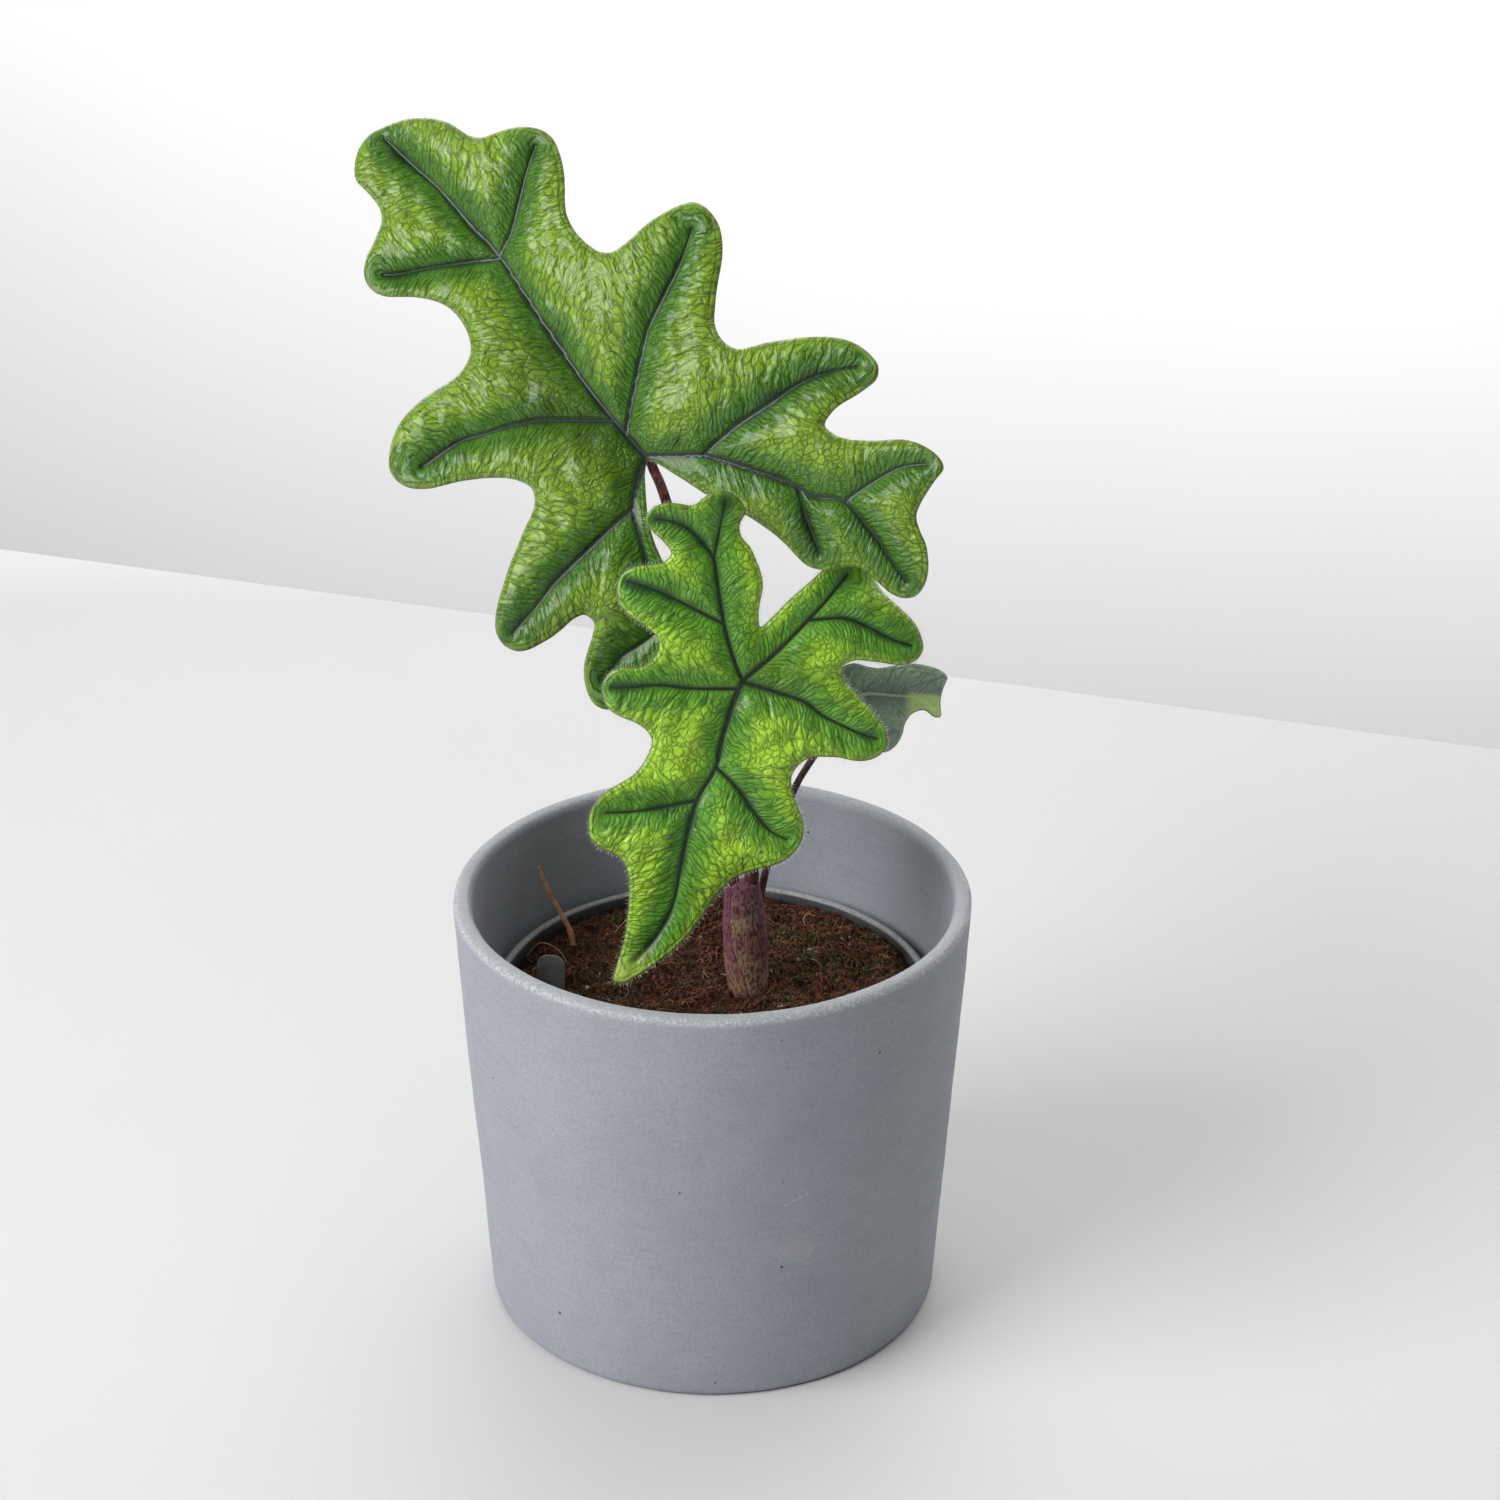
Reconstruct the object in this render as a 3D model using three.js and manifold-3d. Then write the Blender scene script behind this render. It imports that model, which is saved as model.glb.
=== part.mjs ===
// A potted alocasia: a young plant with three arrow-shaped, deeply lobed leaves, growing in a
// thin nursery pot that stands loose in a straight tapered cover pot.
// Millimetres, +Z up. The origin is the middle of the cover pot's underside.

import * as THREE from "three";
import { mergeVertices } from "three/addons/utils/BufferGeometryUtils.js";
import { TessellateModifier } from "three/addons/modifiers/TessellateModifier.js";
import Module from "manifold-3d";

const wasm = await Module();
wasm.setup();

// Cover pot
const POT_TOP_RADIUS = 70;
const POT_FOOT_RADIUS = 62;
const POT_HEIGHT = 121;
const POT_WALL = 5;
const POT_FLOOR = 6;
const POT_FOOT_ROUND = 4;
const POT_SEGMENTS = 48;

// Nursery pot and what fills it
const GAP = 0.3;
const NURSERY_FOOT_RADIUS = 45;
const NURSERY_RIM_RADIUS = 60;
const NURSERY_TOP = 92;
const NURSERY_WALL = 1.2;
const NURSERY_BAND = 8;
const NURSERY_LIP = 2.4;
const DRAIN_HOLES = 6;
const DRAIN_RADIUS = 4;
const DRAIN_RING = 28;
const SOIL_TOP = 90.5;
const SOIL_EDGE_TOP = 88;

// Underground parts and the stem
const STEM_X = 9.8;
const STEM_Y = 0.5;
const STEM_BOTTOM = 85;
const STEM_TOP = 124;
const STEM_LEAN = -0.05;
const SHEATH_WIDTH = 5;
const SHEATH_DEPTH = 9.4;
const CORM_RADIUS = 10;
const CORM_HALF_HEIGHT = 11;
const ROOT_COUNT = 6;
const ROOT_RADIUS = 0.9;

// Leaves
const LEAF_THICKNESS = 0.6;
const LEAF_EDGE_STEP = 3.6;
const LEAF_TRIANGLE = 13;

const finish = (color, roughness, metalness = 0) =>
  new THREE.MeshStandardMaterial({ color, roughness, metalness });

const finishes = {
  cement: finish(0x8f959e, 0.85),
  blackPlastic: finish(0x2c2e2f, 0.5),
  soil: finish(0x4a3226, 0.95),
  corm: finish(0x6b4a33, 0.9),
  root: finish(0xcbb793, 0.8),
  dryRoot: finish(0x8a6a45, 0.85),
  sheathOld: finish(0x8d6f52, 0.6),
  sheathNew: finish(0x4b3038, 0.5),
  petiole: finish(0x5a2e35, 0.5),
  leafLarge: finish(0x5f8a34, 0.3),
  leafFront: finish(0x577f32, 0.3),
  leafSmall: finish(0x3c4d3c, 0.45),
  label: finish(0xc4c6c4, 0.5),
};

/** Leaves only positions, with shared corners merged, so that the surface is one closed mesh. */
function welded(geometry) {
  const plain = geometry.clone();
  plain.deleteAttribute("normal");
  plain.deleteAttribute("uv");
  const merged = mergeVertices(plain, 1e-4);
  const index = merged.index.array;
  const kept = [];
  for (let i = 0; i < index.length; i += 3) {
    const [a, b, c] = [index[i], index[i + 1], index[i + 2]];
    if (a !== b && b !== c && c !== a) {
      kept.push(a, b, c);
    }
  }
  merged.setIndex(kept);
  return merged;
}

/** Moves every corner of a geometry by a function that changes the vector it is given. */
function reshaped(geometry, move) {
  const position = geometry.attributes.position;
  const p = new THREE.Vector3();
  for (let i = 0; i < position.count; i += 1) {
    p.fromBufferAttribute(position, i);
    move(p);
    position.setXYZ(i, p.x, p.y, p.z);
  }
  return geometry;
}

function toSolid(geometry) {
  const mesh = welded(geometry);
  return new wasm.Manifold(
    new wasm.Mesh({
      numProp: 3,
      vertProperties: new Float32Array(mesh.attributes.position.array),
      triVerts: new Uint32Array(mesh.index.array),
    }),
  );
}

function fromSolid(solid) {
  const { vertProperties, triVerts } = solid.getMesh();
  const geometry = new THREE.BufferGeometry();
  geometry.setAttribute("position", new THREE.BufferAttribute(vertProperties, 3));
  geometry.setIndex(new THREE.BufferAttribute(triVerts, 1));
  return geometry;
}

/** A turned solid about Z from a profile of [radius, height] pairs. */
function turned(profile, segments) {
  const points = profile.map(([r, z]) => new THREE.Vector2(r, z));
  return new THREE.LatheGeometry(points, segments).rotateX(Math.PI / 2);
}

/** A tube along a curve whose radius runs evenly from one end to the other. */
function taperedTube(curve, startRadius, endRadius, sides, steps) {
  const frames = curve.computeFrenetFrames(steps, false);
  const profile = [new THREE.Vector2(0, 0)];
  for (let i = 0; i <= steps; i += 1) {
    profile.push(new THREE.Vector2(THREE.MathUtils.lerp(startRadius, endRadius, i / steps), i));
  }
  profile.push(new THREE.Vector2(0, steps));
  const tube = new THREE.LatheGeometry(profile, sides);
  return reshaped(tube, (p) => {
    const step = Math.round(p.y);
    const centre = curve.getPointAt(step / steps);
    const across = frames.normals[step].clone().multiplyScalar(p.x);
    const along = frames.binormals[step].clone().multiplyScalar(-p.z);
    p.copy(centre).add(across).add(along);
  });
}

const smoothCurve = (points) =>
  new THREE.CatmullRomCurve3(points.map(([x, y, z]) => new THREE.Vector3(x, y, z)));

const plant = new THREE.Group();

function add(name, geometry, material) {
  const mesh = new THREE.Mesh(welded(geometry), material);
  mesh.name = name;
  plant.add(mesh);
  return mesh;
}

// ---------------------------------------------------------------- cover pot

function coverPot() {
  const rimRound = POT_WALL / 2;
  const taper = (POT_TOP_RADIUS - POT_FOOT_RADIUS) / POT_HEIGHT;
  const outerAt = (z) => POT_FOOT_RADIUS + taper * z;
  const rimBase = POT_HEIGHT - rimRound;
  const outline = new THREE.Path();
  outline.moveTo(0, 0);
  outline.lineTo(POT_FOOT_RADIUS - POT_FOOT_ROUND, 0);
  outline.quadraticCurveTo(POT_FOOT_RADIUS, 0, outerAt(POT_FOOT_ROUND), POT_FOOT_ROUND);
  outline.lineTo(outerAt(rimBase), rimBase);
  outline.absarc(outerAt(rimBase) - rimRound, rimBase, rimRound, 0, Math.PI, false);
  const innerFoot = outerAt(POT_FLOOR) - POT_WALL;
  outline.lineTo(innerFoot, POT_FLOOR + POT_FOOT_ROUND);
  outline.quadraticCurveTo(innerFoot, POT_FLOOR, innerFoot - POT_FOOT_ROUND, POT_FLOOR);
  outline.lineTo(0, POT_FLOOR);
  const profile = outline.getPoints(4).map((p) => [p.x, p.y]);
  return turned(profile, POT_SEGMENTS);
}

add("cover_pot", coverPot(), finishes.cement);

// ---------------------------------------------------------------- nursery pot

const nurseryFoot = POT_FLOOR + GAP;
const nurseryBandBottom = NURSERY_TOP - NURSERY_BAND;
const nurseryNeckRadius = NURSERY_RIM_RADIUS - NURSERY_LIP;

/** The nursery pot's inner radius at a height. */
const nurseryInnerAt = (z) =>
  THREE.MathUtils.mapLinear(
    z,
    nurseryFoot,
    nurseryBandBottom,
    NURSERY_FOOT_RADIUS,
    nurseryNeckRadius,
  ) - NURSERY_WALL;

function nurseryPot() {
  const floorTop = nurseryFoot + NURSERY_WALL;
  const shell = turned(
    [
      [0, nurseryFoot],
      [NURSERY_FOOT_RADIUS, nurseryFoot],
      [nurseryNeckRadius, nurseryBandBottom],
      [NURSERY_RIM_RADIUS - 0.6, nurseryBandBottom],
      [NURSERY_RIM_RADIUS, nurseryBandBottom + 0.6],
      [NURSERY_RIM_RADIUS, NURSERY_TOP - 0.6],
      [NURSERY_RIM_RADIUS - 0.6, NURSERY_TOP],
      [nurseryNeckRadius + 0.5, NURSERY_TOP],
      [nurseryInnerAt(NURSERY_TOP) - 0.2, NURSERY_TOP - 0.7],
      [nurseryInnerAt(floorTop), floorTop],
      [0, floorTop],
    ],
    48,
  );
  let solid = toSolid(shell);
  for (let i = 0; i < DRAIN_HOLES; i += 1) {
    const angle = (i * 2 * Math.PI) / DRAIN_HOLES;
    const drill = new THREE.CylinderGeometry(DRAIN_RADIUS, DRAIN_RADIUS, 4 * NURSERY_WALL, 16);
    drill.rotateX(Math.PI / 2);
    drill.translate(DRAIN_RING * Math.cos(angle), DRAIN_RING * Math.sin(angle), nurseryFoot);
    solid = solid.subtract(toSolid(drill));
  }
  return fromSolid(solid);
}

add("nursery_pot", nurseryPot(), finishes.blackPlastic);

// ---------------------------------------------------------------- stem, corm and roots

/** One half of the short stem: a sheath of half-oval section, widest at the soil. */
function sheath(side, grow = 0, top = STEM_TOP) {
  const half = new THREE.Shape();
  const inner = side * (GAP / 2 - grow);
  const outer = side * (SHEATH_WIDTH + grow);
  const depth = SHEATH_DEPTH / 2 + grow;
  half.moveTo(inner, -depth);
  half.bezierCurveTo(outer, -depth, outer, depth, inner, depth);
  half.closePath();
  const bottom = STEM_BOTTOM - grow;
  const height = top - bottom;
  const solid = new THREE.ExtrudeGeometry(half, {
    depth: height,
    steps: 6,
    curveSegments: 10,
    bevelEnabled: false,
  });
  return reshaped(solid, (p) => {
    const taper = 1 - 0.3 * (p.z / (STEM_TOP - STEM_BOTTOM));
    p.x = STEM_X + p.x * taper * 1.25 + STEM_LEAN * p.z;
    p.y = STEM_Y + p.y * taper;
    p.z += bottom;
  });
}

const cormTop = STEM_BOTTOM - GAP;
const cormCentre = cormTop - CORM_HALF_HEIGHT;

function corm(grow = 0) {
  const ball = new THREE.SphereGeometry(1, 16, 10).rotateX(Math.PI / 2);
  const radius = CORM_RADIUS + grow;
  const halfHeight = CORM_HALF_HEIGHT + grow;
  return ball.scale(radius, radius, halfHeight).translate(STEM_X, STEM_Y, cormCentre);
}

const ROOT_STEPS = 8;

function rootCurve(index) {
  const angle = ((index + 0.4) * 2 * Math.PI) / ROOT_COUNT;
  const reach = (distance, z) => [
    STEM_X + distance * Math.cos(angle),
    STEM_Y + distance * Math.sin(angle),
    z,
  ];
  const start = CORM_RADIUS + 0.2;
  const drop = 6 * (index % 2);
  return smoothCurve([
    reach(start, cormCentre - 5),
    reach(start + 9, cormCentre - 13),
    reach(start + 15, cormCentre - 30),
    reach(start + 17 - drop, cormCentre - 50 + drop),
  ]);
}

const root = (index, grow = 0) =>
  taperedTube(rootCurve(index), ROOT_RADIUS + grow, ROOT_RADIUS / 2 + grow, 6, ROOT_STEPS);

/** The round pocket in the soil that joins a root's channel to the corm's. */
function rootPocket(index) {
  const { x, y, z } = rootCurve(index).getPointAt(0);
  return new THREE.SphereGeometry(2.2, 8, 6).translate(x, y, z);
}

add("stem_sheath_old", sheath(-1), finishes.sheathOld);
add("stem_sheath_new", sheath(1), finishes.sheathNew);
add("corm", corm(), finishes.corm);
for (let i = 0; i < ROOT_COUNT; i += 1) {
  add(`root_${i + 1}`, root(i), finishes.root);
}

// ---------------------------------------------------------------- potting soil

function pottingSoil() {
  const bottom = nurseryFoot + NURSERY_WALL + GAP;
  const body = turned(
    [
      [0, bottom],
      [nurseryInnerAt(bottom) - GAP, bottom],
      [nurseryInnerAt(SOIL_EDGE_TOP) - GAP - 0.4, SOIL_EDGE_TOP],
      [40, SOIL_TOP - 1],
      [20, SOIL_TOP - 0.2],
      [0, SOIL_TOP],
    ],
    48,
  );
  const aboveSoil = SOIL_TOP + 5;
  let solid = toSolid(body)
    .subtract(toSolid(sheath(-1, GAP, aboveSoil)))
    .subtract(toSolid(sheath(1, GAP, aboveSoil)))
    .subtract(toSolid(corm(GAP)));
  for (let i = 0; i < ROOT_COUNT; i += 1) {
    solid = solid.subtract(toSolid(root(i, GAP))).subtract(toSolid(rootPocket(i)));
  }
  return fromSolid(solid);
}

add("potting_soil", pottingSoil(), finishes.soil);

// ---------------------------------------------------------------- leaves

// Each blade is drawn flat as [along the midrib, across to the leaf's left], from the point where
// its petiole joins, and then bent. `face` is the way its upper side looks, `points` the way its
// tip points, and `bend` the height of the bent blade over the flat one.

const keel = (v, width) => Math.sqrt(v * v + width * width) - width;

const LARGE_LEAF = {
  join: new THREE.Vector3(-18.5, 25, 236.5),
  face: new THREE.Vector3(-0.22, -0.86, 0.46),
  points: new THREE.Vector3(-0.62, 0.49, 0.61),
  bend: (u, v) => {
    const front = Math.max(u, 0);
    const rear = Math.min(u, 0);
    const rearDroop = 0.0036 * rear * rear * (1 + 0.022 * v);
    return 0.14 * keel(v, 4) - 0.0016 * v * v - 0.0009 * front * front - rearDroop;
  },
  outline: [
    // front lobe, then the right side from the front to the back
    [112, 14.5], [118.5, 10], [121, 4.5], [120, 0], [116, -7], [108, -14],
    [97, -18.5],
    [93.5, -25.5], [89.5, -31], [83.5, -34], [75, -32], [69, -28.5], [62.5, -24.5],
    [56, -23.5],
    [47.5, -26], [45.5, -31.5], [45.5, -41.5], [42.5, -52], [38.5, -54], [32.5, -53.5],
    [26, -49.5], [18, -41], [11.5, -36],
    [4.5, -36.5],
    [0, -44], [-6.5, -54], [-13.5, -60.5], [-21, -62.5], [-25.5, -61], [-26, -55], [-25, -47],
    [-26.5, -42],
    [-31.5, -43], [-37.5, -48.5], [-44, -56], [-50.5, -59], [-55.5, -59], [-57, -53.5],
    [-59, -47],
    [-61.5, -44],
    [-65.5, -43], [-70, -40.5], [-74, -36], [-74.5, -30.5], [-70.5, -27],
    [-62, -25.5], [-58, -23.5],
    [-55.5, -19], [-50, -14.5],
    [-40, -13.5], [-30.5, -11], [-20, -6.5], [-9, -3],
    // the cleft where the petiole joins, then the left side from the back to the front
    [-1.5, 0.5],
    [-9, 6.5], [-19, 12], [-29, 15.5], [-38, 21], [-44, 30], [-45.5, 40], [-44, 49.5],
    [-41.5, 53], [-36, 52], [-31.5, 48], [-27, 40],
    [-24.5, 37.5],
    [-22, 39], [-21, 49.5], [-18, 58.5], [-13, 60.5], [-9, 58.5], [-2.5, 49.5], [4, 38.5],
    [8, 30.5],
    [11.5, 28],
    [16, 29.5], [20, 33], [26, 41], [31, 50], [35, 54], [41, 55], [45.5, 51.5], [49.5, 44.5],
    [50.5, 35], [49.5, 24.5],
    [52, 18.5], [58.5, 15.5],
    [66.5, 16], [73, 20], [81, 28], [86.5, 29], [90.5, 27], [95, 20.5],
    [99.5, 15], [106, 14],
  ],
};

const FRONT_LEAF = {
  join: new THREE.Vector3(8, -8, 187),
  face: new THREE.Vector3(0.2, -0.92, 0.33),
  points: new THREE.Vector3(-0.385, -0.385, -0.84),
  bend: (u, v) => {
    const front = Math.max(u, 0);
    const rear = Math.min(u, 0);
    const rearDroop = rear * rear * (0.0012 + 0.00014 * v);
    return 0.16 * keel(v, 4) - 0.003 * v * v - 0.001 * front * front - rearDroop;
  },
  outline: [
    // the cleft, then the left side from the back to the tip
    [-14.5, -1],
    [-17.5, -3], [-25.5, -5.5], [-30, -9.5], [-33, -13], [-35, -17], [-40, -17],
    [-42.5, -20], [-43, -25], [-40.5, -28.5], [-36.5, -31],
    [-34.5, -37.5], [-31.5, -40.5], [-28.5, -41], [-26, -37.5], [-24.5, -33.5],
    [-22, -30.5],
    [-18, -35], [-15, -39.5], [-10.5, -40.5], [-6.5, -39], [-4, -34.5], [-2.5, -28],
    [-0.5, -24.5], [3.5, -24.5],
    [7, -26.5], [9.5, -32], [13.5, -34], [17, -33], [20, -30.5], [21, -25.5], [21, -20.5],
    [23.5, -16], [28.5, -15.5], [33, -16.5],
    [40, -21.5], [45.5, -23.5], [50, -22.5], [54, -19.5], [54.5, -14], [56, -9.5],
    [61, -6], [67, -3.5], [75, -1],
    [86.5, 1.5],
    // the right side from the tip to the back
    [76.5, 9.5], [67, 14], [55, 16.5],
    [48.5, 19], [43.5, 24], [40, 28.5], [34.5, 31], [30, 30.5], [26, 27.5], [21.5, 23],
    [17.5, 21.5],
    [12.5, 23.5], [9, 31], [7.5, 37.5], [4, 41.5], [0, 42], [-4, 38], [-9, 27.5],
    [-12, 23],
    [-15.5, 24.5], [-18, 31.5], [-20, 38.5], [-23, 42], [-26.5, 42.5], [-31, 38.5],
    [-36, 25.5], [-40.5, 20.5], [-42, 16], [-39.5, 11.5], [-32.5, 7.5], [-24.5, 3.5],
    [-18.5, 1],
  ],
};

const SMALL_LEAF = {
  join: new THREE.Vector3(36, 12, 168.5),
  face: new THREE.Vector3(0.25, -0.75, 0.6),
  points: new THREE.Vector3(0.97, 0.2, -0.16),
  bend: (u, v) => 0.3 * keel(v, 2) - 0.006 * v * v - 0.005 * u * u,
  outline: [
    [-0.5, 1.5],
    [-2, 5.5], [-3.5, 9], [-2, 12], [1, 13], [5, 12.5], [9, 12.5], [14, 14], [21, 14.5],
    [28, 12],
    [26.5, 7], [26.5, 0],
    [22.5, 2.5], [17.5, 0.5], [15.5, -4.5], [13, -8.5], [9, -10.5], [5, -8.5], [3, -4],
    [1, -0.5],
  ],
};

/** The three directions of a leaf: along its midrib, to its left and out of its face. */
function leafAxes({ face, points }) {
  const out = face.clone().normalize();
  const along = points.clone().addScaledVector(out, -points.dot(out)).normalize();
  const left = new THREE.Vector3().crossVectors(out, along);
  return { along, left, out };
}

function leafBlade(leaf, triangle) {
  const edge = new THREE.CatmullRomCurve3(
    leaf.outline.map(([u, v]) => new THREE.Vector3(u, v, 0)),
    true,
    "centripetal",
  );
  const count = Math.round(edge.getLength() / LEAF_EDGE_STEP);
  const points = edge.getSpacedPoints(count).slice(0, count);
  const shape = new THREE.Shape(points.map((p) => new THREE.Vector2(p.x, p.y)));
  const flat = new THREE.ExtrudeGeometry(shape, { depth: LEAF_THICKNESS, bevelEnabled: false });
  const fine = new TessellateModifier(triangle, 12).modify(flat);
  reshaped(fine, (p) => {
    p.z += leaf.bend(p.x, p.y) - LEAF_THICKNESS / 2;
  });
  const { along, left, out } = leafAxes(leaf);
  const place = new THREE.Matrix4().makeBasis(along, left, out).setPosition(leaf.join);
  return fine.applyMatrix4(place);
}

add("leaf_large", leafBlade(LARGE_LEAF, LEAF_TRIANGLE), finishes.leafLarge);
add("leaf_front", leafBlade(FRONT_LEAF, LEAF_TRIANGLE), finishes.leafFront);
add("leaf_small", leafBlade(SMALL_LEAF, LEAF_TRIANGLE / 2), finishes.leafSmall);

// ---------------------------------------------------------------- petioles

/** Where a petiole ends: just behind the blade, beside the point where it joins. */
function behindJoin(leaf, radius) {
  const { out } = leafAxes(leaf);
  const clearance = radius + LEAF_THICKNESS / 2 + GAP;
  return leaf.join.clone().addScaledVector(out, -clearance).toArray();
}

function petiole(route, leaf, startRadius, endRadius) {
  const curve = smoothCurve([...route, behindJoin(leaf, endRadius)]);
  return taperedTube(curve, startRadius, endRadius, 10, 20);
}

const PETIOLE_FOOT = STEM_TOP + 2.5;
const stemTopX = STEM_X + STEM_LEAN * (STEM_TOP - STEM_BOTTOM);

add(
  "petiole_large",
  petiole(
    [
      [stemTopX + 2.6, STEM_Y + 0.5, PETIOLE_FOOT],
      [9, 5, 150],
      [-3, 16, 187],
      [-12, 25.5, 221],
      [-16, 28, 231.5],
    ],
    LARGE_LEAF,
    2,
    1.3,
  ),
  finishes.petiole,
);
add(
  "petiole_front",
  petiole(
    [
      [stemTopX - 2.8, STEM_Y, PETIOLE_FOOT],
      [5.5, 1.5, 148],
      [8, 1, 170],
      [8.5, -3, 182.5],
    ],
    FRONT_LEAF,
    2,
    1.2,
  ),
  finishes.petiole,
);
add(
  "petiole_small",
  petiole(
    [
      [13, 7.2, 94],
      [14.5, 7, 118],
      [21, 8.5, 144],
      [27, 11, 156],
      [33.5, 13.5, 165],
    ],
    SMALL_LEAF,
    1.1,
    0.9,
  ),
  finishes.petiole,
);

// ---------------------------------------------------------------- things on the soil

function dryRoot() {
  const curve = smoothCurve([
    [-39, 25.5, 90.2],
    [-39.8, 27, 92.5],
    [-42, 29, 96.5],
    [-44.5, 31, 100.5],
    [-46.5, 32, 104],
    [-49, 34, 110],
  ]);
  return taperedTube(curve, 0.7, 0.5, 8, 10);
}

add("dry_root", dryRoot(), finishes.dryRoot);

function plantLabel() {
  const [width, height, thickness, round] = [8, 11, 0.6, 3];
  const plate = new THREE.Shape();
  plate.moveTo(0, 0);
  plate.lineTo(width, 0);
  plate.lineTo(width, height - round);
  plate.absarc(width - round, height - round, round, 0, Math.PI / 2, false);
  plate.absarc(round, height - round, round, Math.PI / 2, Math.PI, false);
  plate.closePath();
  const solid = new THREE.ExtrudeGeometry(plate, {
    depth: thickness,
    curveSegments: 6,
    bevelEnabled: false,
  });
  solid.rotateX(THREE.MathUtils.degToRad(80));
  solid.rotateZ(THREE.MathUtils.degToRad(-12));
  return solid.translate(-48, -1, 90);
}

add("plant_label", plantLabel(), finishes.label);

export default plant;
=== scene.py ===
"""The looks of a young potted alocasia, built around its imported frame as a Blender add-on.

Lengths in this file are millimetres unless a name says otherwise; Blender's own unit is the metre.
"""

import math

import bpy
import numpy as np
from bpy.props import FloatProperty, FloatVectorProperty, IntProperty, PointerProperty
from mathutils import Matrix, Vector, kdtree
from mathutils.geometry import delaunay_2d_cdt


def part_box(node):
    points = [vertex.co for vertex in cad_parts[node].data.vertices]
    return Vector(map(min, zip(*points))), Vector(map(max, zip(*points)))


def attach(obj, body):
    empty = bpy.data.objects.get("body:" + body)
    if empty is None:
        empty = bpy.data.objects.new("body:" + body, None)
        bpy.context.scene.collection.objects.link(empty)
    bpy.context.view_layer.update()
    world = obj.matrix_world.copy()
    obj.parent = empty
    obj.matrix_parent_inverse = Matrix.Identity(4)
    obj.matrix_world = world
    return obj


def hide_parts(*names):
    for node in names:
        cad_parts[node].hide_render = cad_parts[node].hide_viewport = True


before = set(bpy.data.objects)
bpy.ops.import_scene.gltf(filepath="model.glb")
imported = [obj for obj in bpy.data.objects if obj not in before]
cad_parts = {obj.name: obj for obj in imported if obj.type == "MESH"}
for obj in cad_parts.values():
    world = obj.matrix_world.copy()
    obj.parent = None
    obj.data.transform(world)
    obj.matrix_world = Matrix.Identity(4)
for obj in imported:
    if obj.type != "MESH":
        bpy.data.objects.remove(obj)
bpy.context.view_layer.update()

bl_info = {
    "name": "Potted Alocasia",
    "version": (1, 0, 0),
    "blender": (4, 5, 0),
    "location": "3D View > Sidebar > Alocasia",
    "description": "Builds a young alocasia with quilted leaves in a grey cover pot",
    "category": "Object",
}

MM = 0.001
STEM_PLACE = (9.8, 0.5)  # the stem's middle on the soil
STEM_CLEARANCE = 6.0  # how far loose bits on the soil stay from the stem's middle
FIBRE_REACH = 54.5  # how far from the pot's middle a fibre may run


def frame_box(node):
    """A frame node's lowest and highest corner."""
    low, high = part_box(node)
    return np.array(low) / MM, np.array(high) / MM


# ------------------------------------------------------------------ curves and meshes


def spline(knots, step, closed=False):
    """Points a step apart on a smooth curve through the knots."""
    p = np.asarray(knots, float)
    if closed:
        p = np.vstack([p[-1], p, p[0], p[1]])
    else:
        p = np.vstack([2 * p[0] - p[1], p, 2 * p[-1] - p[-2]])
    t = np.linspace(0, 1, 12, endpoint=False)[:, None]
    spans = [
        0.5 * (2 * b + (c - a) * t + (2 * a - 5 * b + 4 * c - d) * t**2 + (3 * (b - c) - a + d) * t**3)
        for a, b, c, d in zip(p, p[1:], p[2:], p[3:])
    ]
    fine = np.vstack([*spans, p[-2:-1]])
    run = np.concatenate([[0], np.cumsum(np.linalg.norm(np.diff(fine, axis=0), axis=1))])
    at = np.linspace(0, run[-1], max(2, round(run[-1] / step)) + 1)
    points = np.column_stack([np.interp(at, run, fine[:, k]) for k in range(fine.shape[1])])
    return points[:-1] if closed else points


def lumps(points, size, seed, waves=9):
    """Smooth random height from about -1 to 1, with lumps of roughly the given size."""
    rng = np.random.default_rng(seed)
    points = np.asarray(points, float)
    total = np.zeros(len(points))
    for _ in range(waves):
        direction = rng.normal(size=points.shape[1])
        direction *= 2 * math.pi / (size * rng.uniform(0.7, 1.5) * np.linalg.norm(direction))
        total += np.sin(points @ direction + rng.uniform(0, 2 * math.pi))
    return total / math.sqrt(waves)


def rise(value, low, high):
    """Runs smoothly from 0 at low to 1 at high."""
    t = np.clip((value - low) / (high - low), 0, 1)
    return t * t * (3 - 2 * t)


def transported_frames(path):
    """Two unit vectors across the path at each of its points, without twist."""
    tangent = np.gradient(path, axis=0)
    tangent /= np.linalg.norm(tangent, axis=1)[:, None]
    start = np.cross(tangent[0], [0.0, 0.0, 1.0])
    if np.linalg.norm(start) < 0.1:
        start = np.cross(tangent[0], [0.0, 1.0, 0.0])
    across = [start / np.linalg.norm(start)]
    for t in tangent[1:]:
        a = across[-1] - t * (across[-1] @ t)
        across.append(a / np.linalg.norm(a))
    across = np.array(across)
    return across, np.cross(tangent, across)


def tube(path, radii, sides):
    """Vertices and faces of a closed tube along a path; radii is one value, or one for each point."""
    path = np.asarray(path, float)
    across, over = transported_frames(path)
    radii = np.broadcast_to(np.asarray(radii, float), (len(path),))
    turn = np.arange(sides) * 2 * math.pi / sides
    rings = (
        path[:, None]
        + radii[:, None, None] * np.cos(turn)[None, :, None] * across[:, None]
        + radii[:, None, None] * np.sin(turn)[None, :, None] * over[:, None]
    )
    return rings.reshape(-1, 3), loft_faces(len(path), sides)


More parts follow.
